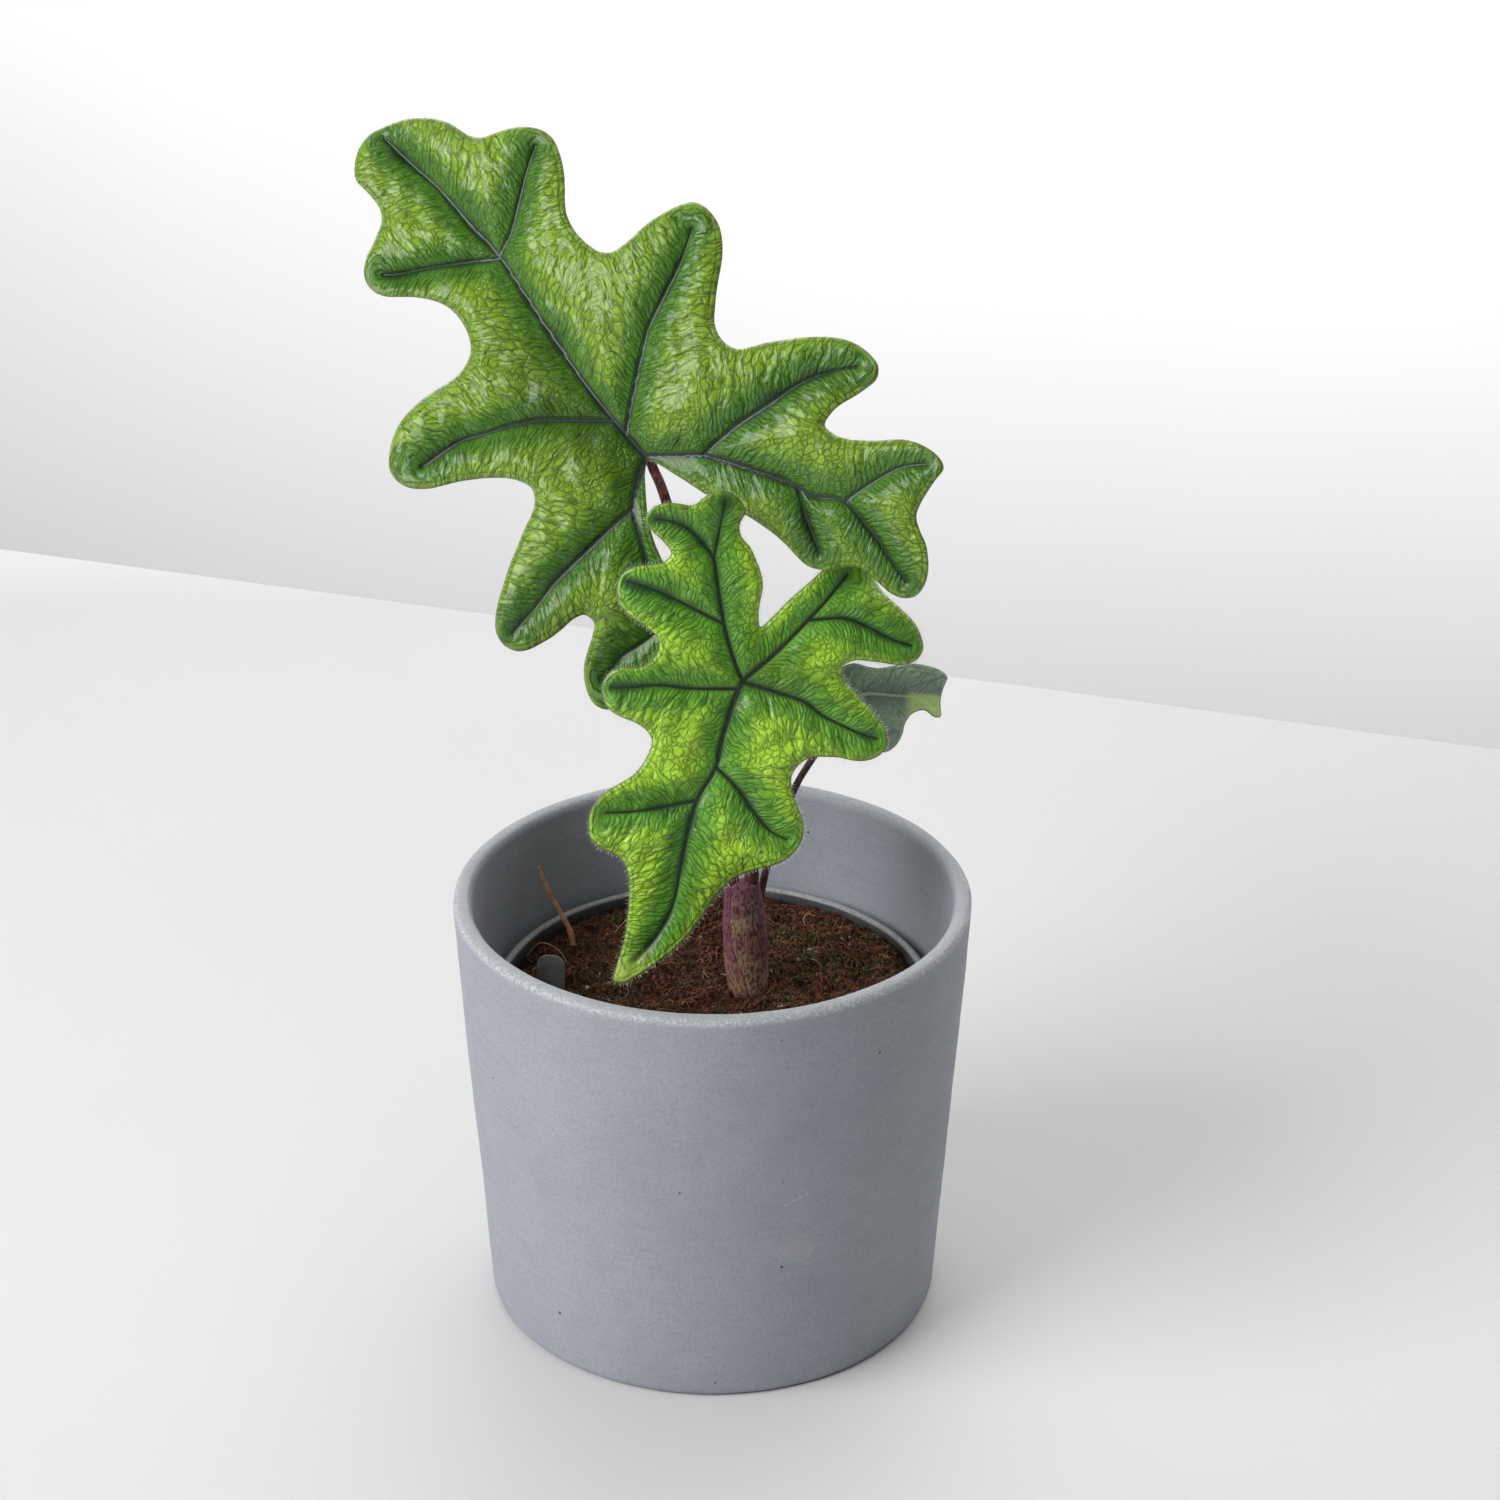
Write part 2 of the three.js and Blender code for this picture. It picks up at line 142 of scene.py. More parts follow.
def loft_faces(rings, sides):
    """Faces that join rings of points into a closed body, with a flat face at both ends."""
    faces = []
    for i in range(rings - 1):
        for j in range(sides):
            a, b = i * sides + j, i * sides + (j + 1) % sides
            faces.append((a, b, b + sides, a + sides))
    faces.append(tuple(reversed(range(sides))))
    faces.append(tuple(range((rings - 1) * sides, rings * sides)))
    return faces


class Heap:
    """Gathers many small bodies into one mesh, with a value of its own for each body."""

    def __init__(self):
        self.vertices, self.faces, self.values, self.count = [], [], [], 0

    def add(self, vertices, faces, value=0.0):
        self.vertices.append(vertices)
        self.faces += [tuple(i + self.count for i in f) for f in faces]
        self.values += [value] * len(vertices)
        self.count += len(vertices)

    def piece(self, name, materials, slot, replaces=()):
        tone = {"tone": np.array(self.values)}
        new_piece(name, np.vstack(self.vertices), self.faces, materials, replaces, tone)


def new_piece(name, vertices, faces, materials, replaces=(), values=None, finishes=None):
    """Makes a mesh object from millimetres and ties it to the frame.

    values maps attribute names to one number or vector for each vertex, and finishes gives each
    face the number of its material.
    """
    mesh = bpy.data.meshes.new(name)
    mesh.from_pydata(np.asarray(vertices) * MM, [], faces)
    for material in materials:
        mesh.materials.append(material)
    mesh.polygons.foreach_set("use_smooth", np.ones(len(mesh.polygons), bool))
    if finishes is not None:
        mesh.polygons.foreach_set("material_index", np.asarray(finishes, np.int32))
    for key, data in (values or {}).items():
        data = np.asarray(data, np.float32)
        kind, field = ("FLOAT_VECTOR", "vector") if data.ndim == 2 else ("FLOAT", "value")
        mesh.attributes.new(key, kind, "POINT").data.foreach_set(field, data.ravel())
    mesh.update()
    piece = bpy.data.objects.new(name, mesh)
    bpy.context.scene.collection.objects.link(piece)
    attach(piece, "root")
    if replaces:
        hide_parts(*replaces)


# ------------------------------------------------------------------ shader building


class Signal:
    """A shader value; sums, products and powers of signals become Math nodes."""

    def __init__(self, recipe, socket):
        self.recipe, self.socket = recipe, socket

    def __add__(self, other):
        return self.recipe.math("ADD", self, other)

    def __sub__(self, other):
        return self.recipe.math("SUBTRACT", self, other)

    def __rsub__(self, other):
        return self.recipe.math("SUBTRACT", other, self)

    def __mul__(self, other):
        return self.recipe.math("MULTIPLY", self, other)

    def __truediv__(self, other):
        return self.recipe.math("DIVIDE", self, other)

    def __rtruediv__(self, other):
        return self.recipe.math("DIVIDE", other, self)

    def __pow__(self, other):
        return self.recipe.math("POWER", self, other)

    def __abs__(self):
        return self.recipe.math("ABSOLUTE", self)


class Recipe:
    """Short ways to add nodes to a material or a node group."""

    def __init__(self, tree):
        self.tree = tree

    def put(self, socket, value):
        """Links a signal to a socket, or sets the socket to a constant."""
        if isinstance(value, Signal):
            self.tree.links.new(value.socket, socket)
        elif socket.type == "RGBA" and len(value) == 3:
            socket.default_value = (*value, 1.0)
        else:
            socket.default_value = value

    def fill(self, sockets, **values):
        """Puts a value into each named socket; an underscore stands for a space in the name."""
        for key, value in values.items():
            self.put(sockets[key.replace("_", " ")], value)

    def node(self, kind, inputs=None, **settings):
        made = self.tree.nodes.new(kind)
        for key, value in settings.items():
            setattr(made, key, value)
        for key, value in (inputs or {}).items():
            self.put(made.inputs[key], value)
        return made

    def out(self, kind, output, inputs=None, **settings):
        """Adds a node and returns one of its outputs."""
        return Signal(self, self.node(kind, inputs, **settings).outputs[output])

    def outs(self, kind, inputs=None, **settings):
        """Adds a node and returns all of its outputs by name."""
        return {s.name: Signal(self, s) for s in self.node(kind, inputs, **settings).outputs}

    def group(self, name, inputs):
        return self.outs("ShaderNodeGroup", inputs, node_tree=bpy.data.node_groups[name])

    def math(self, operation, *values):
        return self.out("ShaderNodeMath", 0, dict(enumerate(values)), operation=operation)

    def paint(self, colour, *layers):
        """Lays colours over the first one, each where its mask says."""
        for mask, over in layers:
            colour = self.out("ShaderNodeMix", 2, {0: mask, 6: colour, 7: over}, data_type="RGBA")
        return colour

    def fade(self, value, low, high, start=0.0, end=1.0):
        """Runs smoothly from start to end while value runs from low to high."""
        inputs = {"Value": value, "From Min": low, "From Max": high, "To Min": start, "To Max": end}
        return self.out("ShaderNodeMapRange", "Result", inputs, interpolation_type="SMOOTHSTEP")

    def value(self, name):
        return self.out("ShaderNodeAttribute", "Fac", attribute_name=name)

    def vector(self, name):
        return self.out("ShaderNodeAttribute", "Vector", attribute_name=name)

    def stretched(self, vector, scale):
        return self.out("ShaderNodeMapping", "Vector", {"Vector": vector, "Scale": scale})

    def place(self, stretch=(1.0, 1.0, 1.0)):
        """The point's own place in millimetres, stretched along the axes."""
        return self.stretched(self.out("ShaderNodeTexCoord", "Object"), tuple(s / MM for s in stretch))

    def noise(self, vector, size, detail=3.0, roughness=0.55):
        """Soft noise from 0 to 1 with features of about the given size."""
        inputs = {"Vector": vector, "Scale": 1 / size, "Detail": detail, "Roughness": roughness}
        return self.out("ShaderNodeTexNoise", "Fac", inputs)

    def bump(self, height, strength=1.0):
        """The normal of a surface whose height is in millimetres."""
        return self.out("ShaderNodeBump", "Normal", {"Height": height, "Strength": strength, "Distance": MM})


def new_group(name, inputs, outputs):
    """A shader node group: its recipe, its inputs by name and the sockets of its outputs.

    inputs gives each number its default, or None where a vector comes in.
    """
    tree = bpy.data.node_groups.new(name, "ShaderNodeTree")
    for label, default in inputs.items():
        kind = "NodeSocketVector" if default is None else "NodeSocketFloat"
        socket = tree.interface.new_socket(label, in_out="INPUT", socket_type=kind)
        if default is not None:
            socket.default_value = default
    for label in outputs:
        tree.interface.new_socket(label, in_out="OUTPUT", socket_type="NodeSocketFloat")
    recipe = Recipe(tree)
    return recipe, recipe.outs("NodeGroupInput"), recipe.node("NodeGroupOutput").inputs


def new_material(name, **constants):
    """A material with one Principled BSDF; constants are set on the shader's own sockets."""
    material = bpy.data.materials.new(name)
    material.use_nodes = True
    recipe = Recipe(material.node_tree)
    shader = material.node_tree.nodes["Principled BSDF"].inputs
    recipe.fill(shader, **constants)
    return material, recipe, shader


def make_quilting_group():
    """The fine relief of a quilted leaf: veinlets beside the veins and a net between them."""
    g, given, out = new_group(
        "Quilting",
        {"Flat": None, "Along": 0.0, "Vein": 0.0, "Gap": 0.0, "Edge": 5.0, "Veinlet Spacing": 1.1,
         "Net Size": 1.9},
        ("Height", "Groove", "Net", "Patch"),
    )
    flat, vein, gap = given["Flat"], given["Vein"], given["Gap"]
    wander = g.noise(flat, 7.0, 2.0) - 0.5
    jitter = g.noise(flat, 1.6, 2.0) - 0.5
    run = given["Along"] - vein * 0.6 + wander * 5.0 + jitter
    clear = g.fade(gap, 0.4, 3.0)

    def ridges(spacing):
        """From 0 on the crest of each ridge to 1 in the groove beside it."""
        return abs(g.math("FRACT", run / spacing) - 0.5) * 2.0

    beside = g.fade(vein, 0.4, 1.2) * g.fade(vein, 2.5, 7.0, 1.0, 0.12) * clear
    ridge = ridges(given["Veinlet Spacing"])
    veinlet = g.fade(ridge, 0.6, 0.98) * beside
    crest = 1.0 - ridge**2.5
    long_line = g.fade(ridges(3.4), 0.9, 0.985) * g.fade(vein, 1.5, 4.0) * clear

    # the net stretches away from the veins beside them and is even where two fields meet
    turned = g.out("ShaderNodeCombineXYZ", 0, {"X": run, "Y": vein * 0.62, "Z": 0.0})
    warp = g.out("ShaderNodeTexNoise", "Color", {"Vector": flat, "Scale": 0.35, "Detail": 2.0})
    push = g.out("ShaderNodeVectorMath", 0, {0: warp, 1: (0.5, 0.5, 0.5)}, operation="SUBTRACT")
    even = g.out("ShaderNodeVectorMath", 0, {0: push, 1: (3.0, 3.0, 3.0), 2: flat}, operation="MULTIPLY_ADD")

    def net_of(place):
        inputs = {"Vector": place, "Scale": 1.0 / given["Net Size"]}
        return g.out("ShaderNodeTexVoronoi", "Distance", inputs, feature="DISTANCE_TO_EDGE")

    share = g.fade(gap, 1.0, 4.0)
    net = net_of(turned) * share + net_of(even) * (1.0 - share)
    cushion = g.fade(net, 0.0, 0.24)
    hem = (given["Edge"] - 1.25) / 0.28
    hem = g.math("EXPONENT", hem * hem * -1.0)
    height = cushion * (1.0 - beside * 0.6) * 0.26 + crest * beside * 0.24
    height = height + g.noise(turned, 3.2, 2.0) * 0.12 - long_line * 0.16
    height = height + g.noise(flat, 0.36, 2.0, 0.6) * 0.16 - hem * 0.16
    line = g.fade(net, 0.0, 0.07, 1.0, 0.0) * g.fade(vein, 0.5, 4.0, 0.0, 0.85)
    fine = g.math("MAXIMUM", veinlet * 0.5, line)
    groove = g.math("MAXIMUM", fine, g.math("MAXIMUM", long_line, hem * 0.45))
    g.fill(out, Height=height, Groove=groove, Net=cushion, Patch=g.noise(flat, 17.0, 3.0))


def make_speckle_group():
    """Sparse spots, some larger than others."""
    g, given, out = new_group(
        "Speckle",
        {"Place": None, "Spot Spacing": 3.0, "Spot Radius": 0.25, "Share": 0.4},
        ("Spots", "Height"),
    )
    spacing, share = given["Spot Spacing"], given["Share"]
    cell = g.outs("ShaderNodeTexVoronoi", {"Vector": given["Place"], "Scale": 1.0 / spacing})
    chance = g.out("ShaderNodeSeparateColor", 0, {"Color": cell["Color"]})
    radius = given["Spot Radius"] * (chance / share + 0.5)
    inside = g.fade(cell["Distance"] * spacing / radius, 0.6, 1.0, 1.0, 0.0)
    spots = inside * g.math("LESS_THAN", chance, share)
    g.fill(out, Spots=spots, Height=spots * -1.0)


def make_mottle_group():
    """Long flecks and cross bands, as on the stem and the leaf stalks."""
    g, given, out = new_group(
        "Mottle", {"Place": None, "Fleck Size": 0.7, "Band Size": 3.0}, ("Flecks", "Bands", "Height")
    )
    place = given["Place"]
    flecks = g.noise(g.stretched(place, (1.0, 1.0, 0.4)), given["Fleck Size"], 3.0, 0.5)
    bands = g.noise(g.stretched(place, (0.45, 0.45, 1.0)), given["Band Size"], 4.0, 0.5)
    streaks = g.noise(g.stretched(place, (1.0, 1.0, 0.06)), 0.5)
    g.fill(out, Flecks=g.fade(flecks, 0.5, 0.58), Bands=g.fade(bands, 0.42, 0.6), Height=streaks)


# ------------------------------------------------------------------ leaf shapes

# A blade is laid out flat as (along the midrib, to the leaf's left) from the point where its
# petiole joins it. These frames and bends are those of the frame's own blades.


def keel(v, width):
    return np.sqrt(v * v + width * width) - width


def large_bend(u, v):
    front, rear = np.maximum(u, 0), np.minimum(u, 0)
    droop = 0.0009 * front**2 + 0.0036 * rear**2 * (1 + 0.022 * v)
    return 0.14 * keel(v, 4) - 0.0016 * v * v - droop


def front_bend(u, v):
    front, rear = np.maximum(u, 0), np.minimum(u, 0)
    droop = 0.001 * front**2 + rear**2 * (0.0012 + 0.00014 * v)
    return 0.16 * keel(v, 4) - 0.003 * v * v - droop


def small_bend(u, v):
    return 0.3 * keel(v, 2) - 0.006 * v * v - 0.005 * u * u


LARGE_LEAF = {
    "node": "leaf_large",
    "join": (-18.5, 25, 236.5),
    "face": (-0.22, -0.86, 0.46),
    "points": (-0.62, 0.49, 0.61),
    "bend": large_bend,
    "step": 0.55,
    "fold": 0.11,
    # where shade is painted beside the midrib: its middle and its reach along and across
    "painted_shade_place": ((18, 9), (30, 9)),
    # each vein's knots, and its width where it starts and where it ends
    "veins": [
        ([(0, 0), (20, 0.5), (43.5, -1), (68, -3), (81, -2), (94, -1.5), (106, 0.5), (117, 2)], 2.2, 0.7),
        ([(0, 0), (-7, -8), (-11, -12.5), (-18.5, -17.5), (-25, -21.5), (-32.5, -25.5),
          (-38.5, -28), (-44.5, -33), (-54.5, -33.5), (-64.5, -32.5), (-71, -32)], 2.0, 0.6),
        ([(0, 0), (-4.5, 6), (-9.5, 11), (-15.5, 14), (-21.5, 17), (-30.5, 22), (-36.5, 27),
          (-36.5, 34), (-36, 39), (-37.5, 47)], 1.9, 0.6),
        ([(68, -3), (71, -10), (75.5, -16.5), (81, -24), (84, -29)], 1.3, 0.6),
        ([(67.5, -3), (73, 5), (78.5, 13.5), (82.5, 20.5), (85.5, 24.5)], 1.3, 0.6),
        ([(8, 0), (14.5, -8.5), (20, -16), (24.5, -22.5), (28.5, -32), (32, -40), (37, -48)], 1.7, 0.6),
        ([(12.5, 0.5), (21.5, 11), (26, 16.5), (29.5, 23), (32.5, 30), (35, 36), (36.5, 48)], 1.7, 0.6),
        ([(-10.5, -12.5), (-11, -24), (-12.5, -34), (-14, -45), (-17.5, -53.5), (-20.5, -58.5)], 1.5, 0.6),
        ([(-44.5, -33), (-46, -42.5), (-48, -50), (-52, -56)], 1.2, 0.6),
        ([(-34, -26), (-40, -23), (-45, -21), (-50, -19)], 1.0, 0.5),
        ([(-9.5, 11), (-9.5, 17.5), (-10, 25.5), (-11, 39), (-12.5, 47), (-13.5, 56)], 1.5, 0.6),
    ],
}

FRONT_LEAF = {
    "node": "leaf_front",
    "join": (8, -8, 187),
    "face": (0.2, -0.92, 0.33),
    "points": (-0.385, -0.385, -0.84),
    "bend": front_bend,
    "step": 0.42,
    "fold": 0.0,
    "painted_shade_place": ((-6, 8), (9, 9)),
    "veins": [
        ([(0, 0), (7, 0), (16, 1), (24, 2.5), (32.5, 1.5), (41.5, 2.5), (50.5, 4.5), (61, 7),
          (70, 6.5), (79, 4)], 1.7, 0.45),
        ([(0, 0), (-2, -2.5), (-7, -7), (-11.5, -10.5), (-17.5, -14.5), (-23, -18), (-26, -20),
          (-28.5, -24), (-30.5, -29.5), (-30.5, -34), (-29.5, -38.5)], 1.4, 0.45),
        ([(0, 0), (-2.5, 1.5), (-8, 4.5), (-13.5, 7), (-21, 10), (-27.5, 12.5), (-36, 15.5)], 1.4, 0.72),
        ([(33.5, 1.5), (37, -4), (41.5, -11), (45.5, -19.5)], 0.9, 0.45),
        ([(23.5, 2.5), (26.5, 10), (30.5, 16.5), (33.5, 22.5), (34, 28)], 1.0, 0.45),
        ([(2.5, 0), (7, -11.5), (9.5, -20), (13.5, -28), (15, -31.5)], 1.1, 0.54),
        ([(0.5, 0), (-0.5, 9), (-1, 17.5), (0.5, 23.5), (1, 33.5), (0.5, 39.5)], 1.2, 0.54),
        ([(-11.5, -10.5), (-12, -18.5), (-12.5, -25.5), (-12.5, -32), (-12, -38.5)], 1.0, 0.45),
        ([(-26, -20), (-32.5, -21.5), (-36.5, -22.5), (-41, -23.5)], 0.7, 0.36),
        ([(-21, 10), (-25, 18.5), (-25.5, 25), (-25, 33), (-25.5, 39.5)], 0.9, 0.45),
    ],
}

SMALL_LEAF = {
    "node": "leaf_small",
    "join": (36, 12, 168.5),
    "face": (0.25, -0.75, 0.6),
    "points": (0.97, 0.2, -0.16),
    "bend": small_bend,
    "step": 0.3,
    "fold": 0.0,
    "painted_shade_place": ((-6, 0), (4, 4)),
    "veins": [
        ([(0, 1.5), (4, 5), (12, 5.5), (20, 5.5), (25, 4)], 1.1, 0.4),
        ([(0, 1.5), (-0.5, 6), (0.5, 11)], 0.8, 0.4),
        ([(0, 1.5), (4, -2), (9, -8.5)], 0.8, 0.4),
    ],
}


def leaf_axes(leaf):
    """Unit vectors along the midrib, to the leaf's left and out of its face."""
    out = np.array(leaf["face"], float)
    out /= np.linalg.norm(out)
    along = np.array(leaf["points"], float)
    along -= out * (along @ out)
    along /= np.linalg.norm(along)
    return np.array([along, np.cross(out, along), out])


def frame_outline(leaf):
    """The blade's flat outline, read off the rim of the frame's own blade."""
    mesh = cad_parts[leaf["node"]].data
    corners = np.array([v.co for v in mesh.vertices]) / MM
    flat = (corners - leaf["join"]) @ leaf_axes(leaf).T
    upper = flat[:, 2] > leaf["bend"](flat[:, 0], flat[:, 1])
    keys = [tuple(k) for k in np.round(flat[:, :2], 2)]
    follows = {}
    for polygon in mesh.polygons:
        loop = list(polygon.vertices)
        if all(upper[i] == upper[loop[0]] for i in loop):
            continue
        for a, b in zip(loop, loop[1:] + loop[:1]):
            if upper[a] and upper[b] and keys[a] != keys[b]:
                follows[keys[b]] = keys[a]
    start = here = min(follows)
    outline = [start]
    while follows[here] != start:
        here = follows[here]
        outline.append(here)
    return np.array(outline)


def rows_inside(outline, step):
    """Points of a triangular grid that lie inside a closed outline."""
    following = np.roll(outline, -1, axis=0)
    points = []
    rows = np.arange(outline[:, 1].min(), outline[:, 1].max(), step * 0.866)
    for number, v in enumerate(rows):
        crosses = (outline[:, 1] > v) != (following[:, 1] > v)
        a, b = outline[crosses], following[crosses]
        cuts = np.sort(a[:, 0] + (v - a[:, 1]) * (b[:, 0] - a[:, 0]) / (b[:, 1] - a[:, 1]))
        shift = 0.5 * step * (number % 2)
        for low, high in zip(cuts[::2], cuts[1::2]):
            first = math.ceil((low - shift) / step) * step + shift
            points += [(u, v) for u in np.arange(first, high, step)]
    return np.array(points)


def lies_inside(outline, points):
    """Whether each point lies inside a closed outline."""
    inside = np.zeros(len(points), bool)
    for a, b in zip(outline, np.roll(outline, -1, axis=0)):
        crosses = (a[1] > points[:, 1]) != (b[1] > points[:, 1])
        cut = a[0] + (points[crosses, 1] - a[1]) * (b[0] - a[0]) / (b[1] - a[1])
        inside[crosses] ^= points[crosses, 0] < cut
    return inside


def nearest_distance(points, targets):
    tree = kdtree.KDTree(len(targets))
    for i, (u, v) in enumerate(targets):
        tree.insert((u, v, 0), i)
    tree.balance()
    return np.array([tree.find((u, v, 0))[2] for u, v in points])


def along_line(points, line):
    """Each point's distance from a line of points, and how far along the line it lies."""
    best, where, run = np.full(len(points), 1e9), np.zeros(len(points)), 0.0
    for a, b in zip(line, line[1:]):
        span = b - a
        length = np.linalg.norm(span)
        t = np.clip((points - a) @ span / length**2, 0, 1)
        distance = np.linalg.norm(points - a - t[:, None] * span, axis=1)
        closer = distance < best
        best[closer] = distance[closer]
        where[closer] = run + t[closer] * length
        run += length
    return best, where


def rows_beside(leaf, veins, rim):
    """Points in rows along both sides of each vein, so that its rib comes out smooth."""
    rows = []
    for number, line in enumerate(veins):
        _, wide, narrow = leaf["veins"][number]
        girth = np.linspace(wide, narrow, len(line))[:, None]
        ahead = np.gradient(line, axis=0)
        left = np.column_stack([-ahead[:, 1], ahead[:, 0]])
        left /= np.linalg.norm(ahead, axis=1)[:, None]
        for share in (-1.0, -0.5, 0.5, 1.0):
            reach = np.maximum(girth, 0.6) * abs(share)
            row = line + math.copysign(1, share) * left * reach
            alone = np.ones(len(row), bool)
            for other, far in enumerate(veins):
                if other != number:
                    alone &= nearest_distance(row, far) > 1.05 * reach[:, 0] + 0.2
            alone &= nearest_distance(row, rim) > 0.8 * leaf["step"]
            rows.append(row[alone])
    return np.vstack(rows)


def blade_layout(leaf):
    """A fine flat mesh of the blade whose edges follow its rim and its veins.

    Returns the points, the triangles, and what is measured at each point.
    """
    step = leaf["step"]
    rim = spline(frame_outline(leaf), step, closed=True)
    veins = [spline(knots, step) for knots, _, _ in leaf["veins"]]
    beside = rows_beside(leaf, veins, rim)
    fixed = np.vstack([rim, *veins, beside])
    grid = rows_inside(rim, step)
    grid = grid[nearest_distance(grid, fixed) > 0.55 * step]
    edges = [(i, (i + 1) % len(rim)) for i in range(len(rim))]
    first = len(rim)
    for line in veins:
        edges += [(i, i + 1) for i in range(first, first + len(line) - 1)]
        first += len(line)
    points = [Vector(p) for p in np.vstack([fixed, grid])]
    made, _, triangles, *_ = delaunay_2d_cdt(points, edges, [], 0, 1e-4, False)
    points = np.array([tuple(p) for p in made])
    triangles = np.array(triangles)
    triangles = triangles[lies_inside(rim, points[triangles].mean(axis=1))]
    a, b, c = points[triangles[:, 0]], points[triangles[:, 1]], points[triangles[:, 2]]
    area = (b[:, 0] - a[:, 0]) * (c[:, 1] - a[:, 1]) - (b[:, 1] - a[:, 1]) * (c[:, 0] - a[:, 0])
    triangles[area < 0] = triangles[area < 0][:, ::-1]
    return points, triangles, blade_measures(leaf, points, rim, veins)


VEIN_SHIFT = 37.7  # added from one vein to the next, so that no two carry the same pattern


def blade_measures(leaf, points, rim, veins):
    """At each point: distance to the nearest vein and to the rim, and place along that vein."""
    found = [along_line(points, line[::2] if len(line) > 4 else line) for line in veins]
    distances = np.array([d for d, _ in found])
    places = np.array([s for _, s in found])
    order = np.argsort(distances, axis=0)
    column = np.arange(len(points))
    nearest, second = order[0], order[1]
    vein = distances[nearest, column]
    place = places[nearest, column]
    lengths = np.array([(len(line) - 1) * leaf["step"] for line in veins])[nearest]
    wide, narrow = np.array([(w0, w1) for _, w0, w1 in leaf["veins"]]).T
    girth = wide[nearest] + (narrow - wide)[nearest] * np.clip(place / lengths, 0, 1)
    return {
        "vein": vein,
        "rib": vein / (0.5 * girth),
        "girth": girth,
        "along": place + VEIN_SHIFT * nearest,
        "gap": distances[second, column] - vein,
        "edge": nearest_distance(points, rim),
    }


def blade_relief(points, at, depth, seed):
    """Height of the quilted upper side over the plain bent blade."""
    pillow = 0.55 * (1 - np.exp(-at["vein"] / 2.6)) + 0.95 * (1 - np.exp(-at["vein"] / 9.0))
    bulge = pillow * (1 - 0.75 * np.exp(-(at["edge"] + 0.6) / 3.2))
    height = depth * (bulge - 0.5)
    height += 0.34 * np.exp(-((at["rib"] * 0.95) ** 2)) * np.minimum(at["girth"], 1.6)
    apart = rise(at["gap"], 0.5, 4.0)
    inside = rise(at["edge"], 0.4, 3)
    lean = at["along"] - 0.7 * at["vein"] + 1.3 * lumps(points, 14, seed)
    sweep = np.abs(((lean / 7.5) % 1.0) - 0.5) * 2
    height -= 0.4 * rise(sweep, 0.7, 1.0) * rise(at["vein"], 0.6, 2.5) * apart * inside
    waves = 2 * math.pi * (at["along"] - 0.5 * at["vein"]) / 2.7 + 1.9 * lumps(points, 7, seed + 1)
    rough = 0.35 + 0.65 * rise(lumps(points, 18, seed + 5), -0.3, 0.9)
    height += 0.15 * np.sin(waves) * rough * rise(at["vein"], 0.8, 2.2) * apart * inside
    height += 0.35 * lumps(points, 9, seed + 2) * bulge
    height += 0.04 * lumps(points, 3.2, seed + 3) * bulge
    height += 0.9 * lumps(points, 34, seed + 4) * np.exp(-at["edge"] / 9)
    height -= 0.35 * np.exp(-at["edge"] / 0.9)
    return height


def build_blade(leaf, depth, seed, materials):
    """Builds a blade as one closed body; returns its upper vertices and the edges of its rim."""
    points, triangles, at = blade_layout(leaf)
    count = len(points)
    across = points[:, 1]
    fold = leaf["fold"] * (keel(across, 4) - 0.011 * across**2)
    base = leaf["bend"](points[:, 0], across) + fold
    top = base + blade_relief(points, at, depth, seed)
    thickness = 0.22 + 0.3 * rise(at["edge"], 0.0, 1.5)
    rib = 0.75 * at["girth"] * np.exp(-((at["rib"] * 0.75) ** 2)) * rise(at["edge"], 0, 3)
    bottom = top - thickness - rib
    axes = leaf_axes(leaf)
    local = np.vstack([np.column_stack([points, top]), np.column_stack([points, bottom])])
    vertices = local @ axes + np.array(leaf["join"])
    sides = {}
    for t in triangles:
        for a, b in ((t[0], t[1]), (t[1], t[2]), (t[2], t[0])):
            if sides.pop((b, a), None) is None:
                sides[(a, b)] = True
    rim = [(b, a, a + count, b + count) for a, b in sides]
    upper = [tuple(t) for t in triangles]
    lower = [(t[2] + count, t[1] + count, t[0] + count) for t in triangles]
    faces = upper + lower + rim
    finishes = [0] * len(upper) + [1] * len(lower) + [0] * len(rim)
    values = {key: np.tile(at[key], 2) for key in ("vein", "rib", "along", "gap", "edge")}
    values["flat"] = np.tile(np.column_stack([points, np.zeros(count)]), (2, 1))
    # painted shade: a darker, browner patch on the blade around this middle, standing in for the shade
    # beside the midrib
    middle, reach = leaf["painted_shade_place"]
    values["painted_shade"] = np.tile(np.exp(-(((points - middle) / reach) ** 2).sum(axis=1)), 2)
    node = leaf["node"]
    new_piece(node + "_blade", vertices, faces, materials, [node], values, finishes)
    return vertices[:count], np.array(list(sides))


# ------------------------------------------------------------------ materials


def quilting(m, spacing=1.1):
    """The Quilting group, fed with what is measured at the points of a blade."""
    measures = {key.capitalize(): m.value(key) for key in ("along", "vein", "gap", "edge")}
    return m.group("Quilting", {"Flat": m.vector("flat"), "Veinlet Spacing": spacing, **measures})


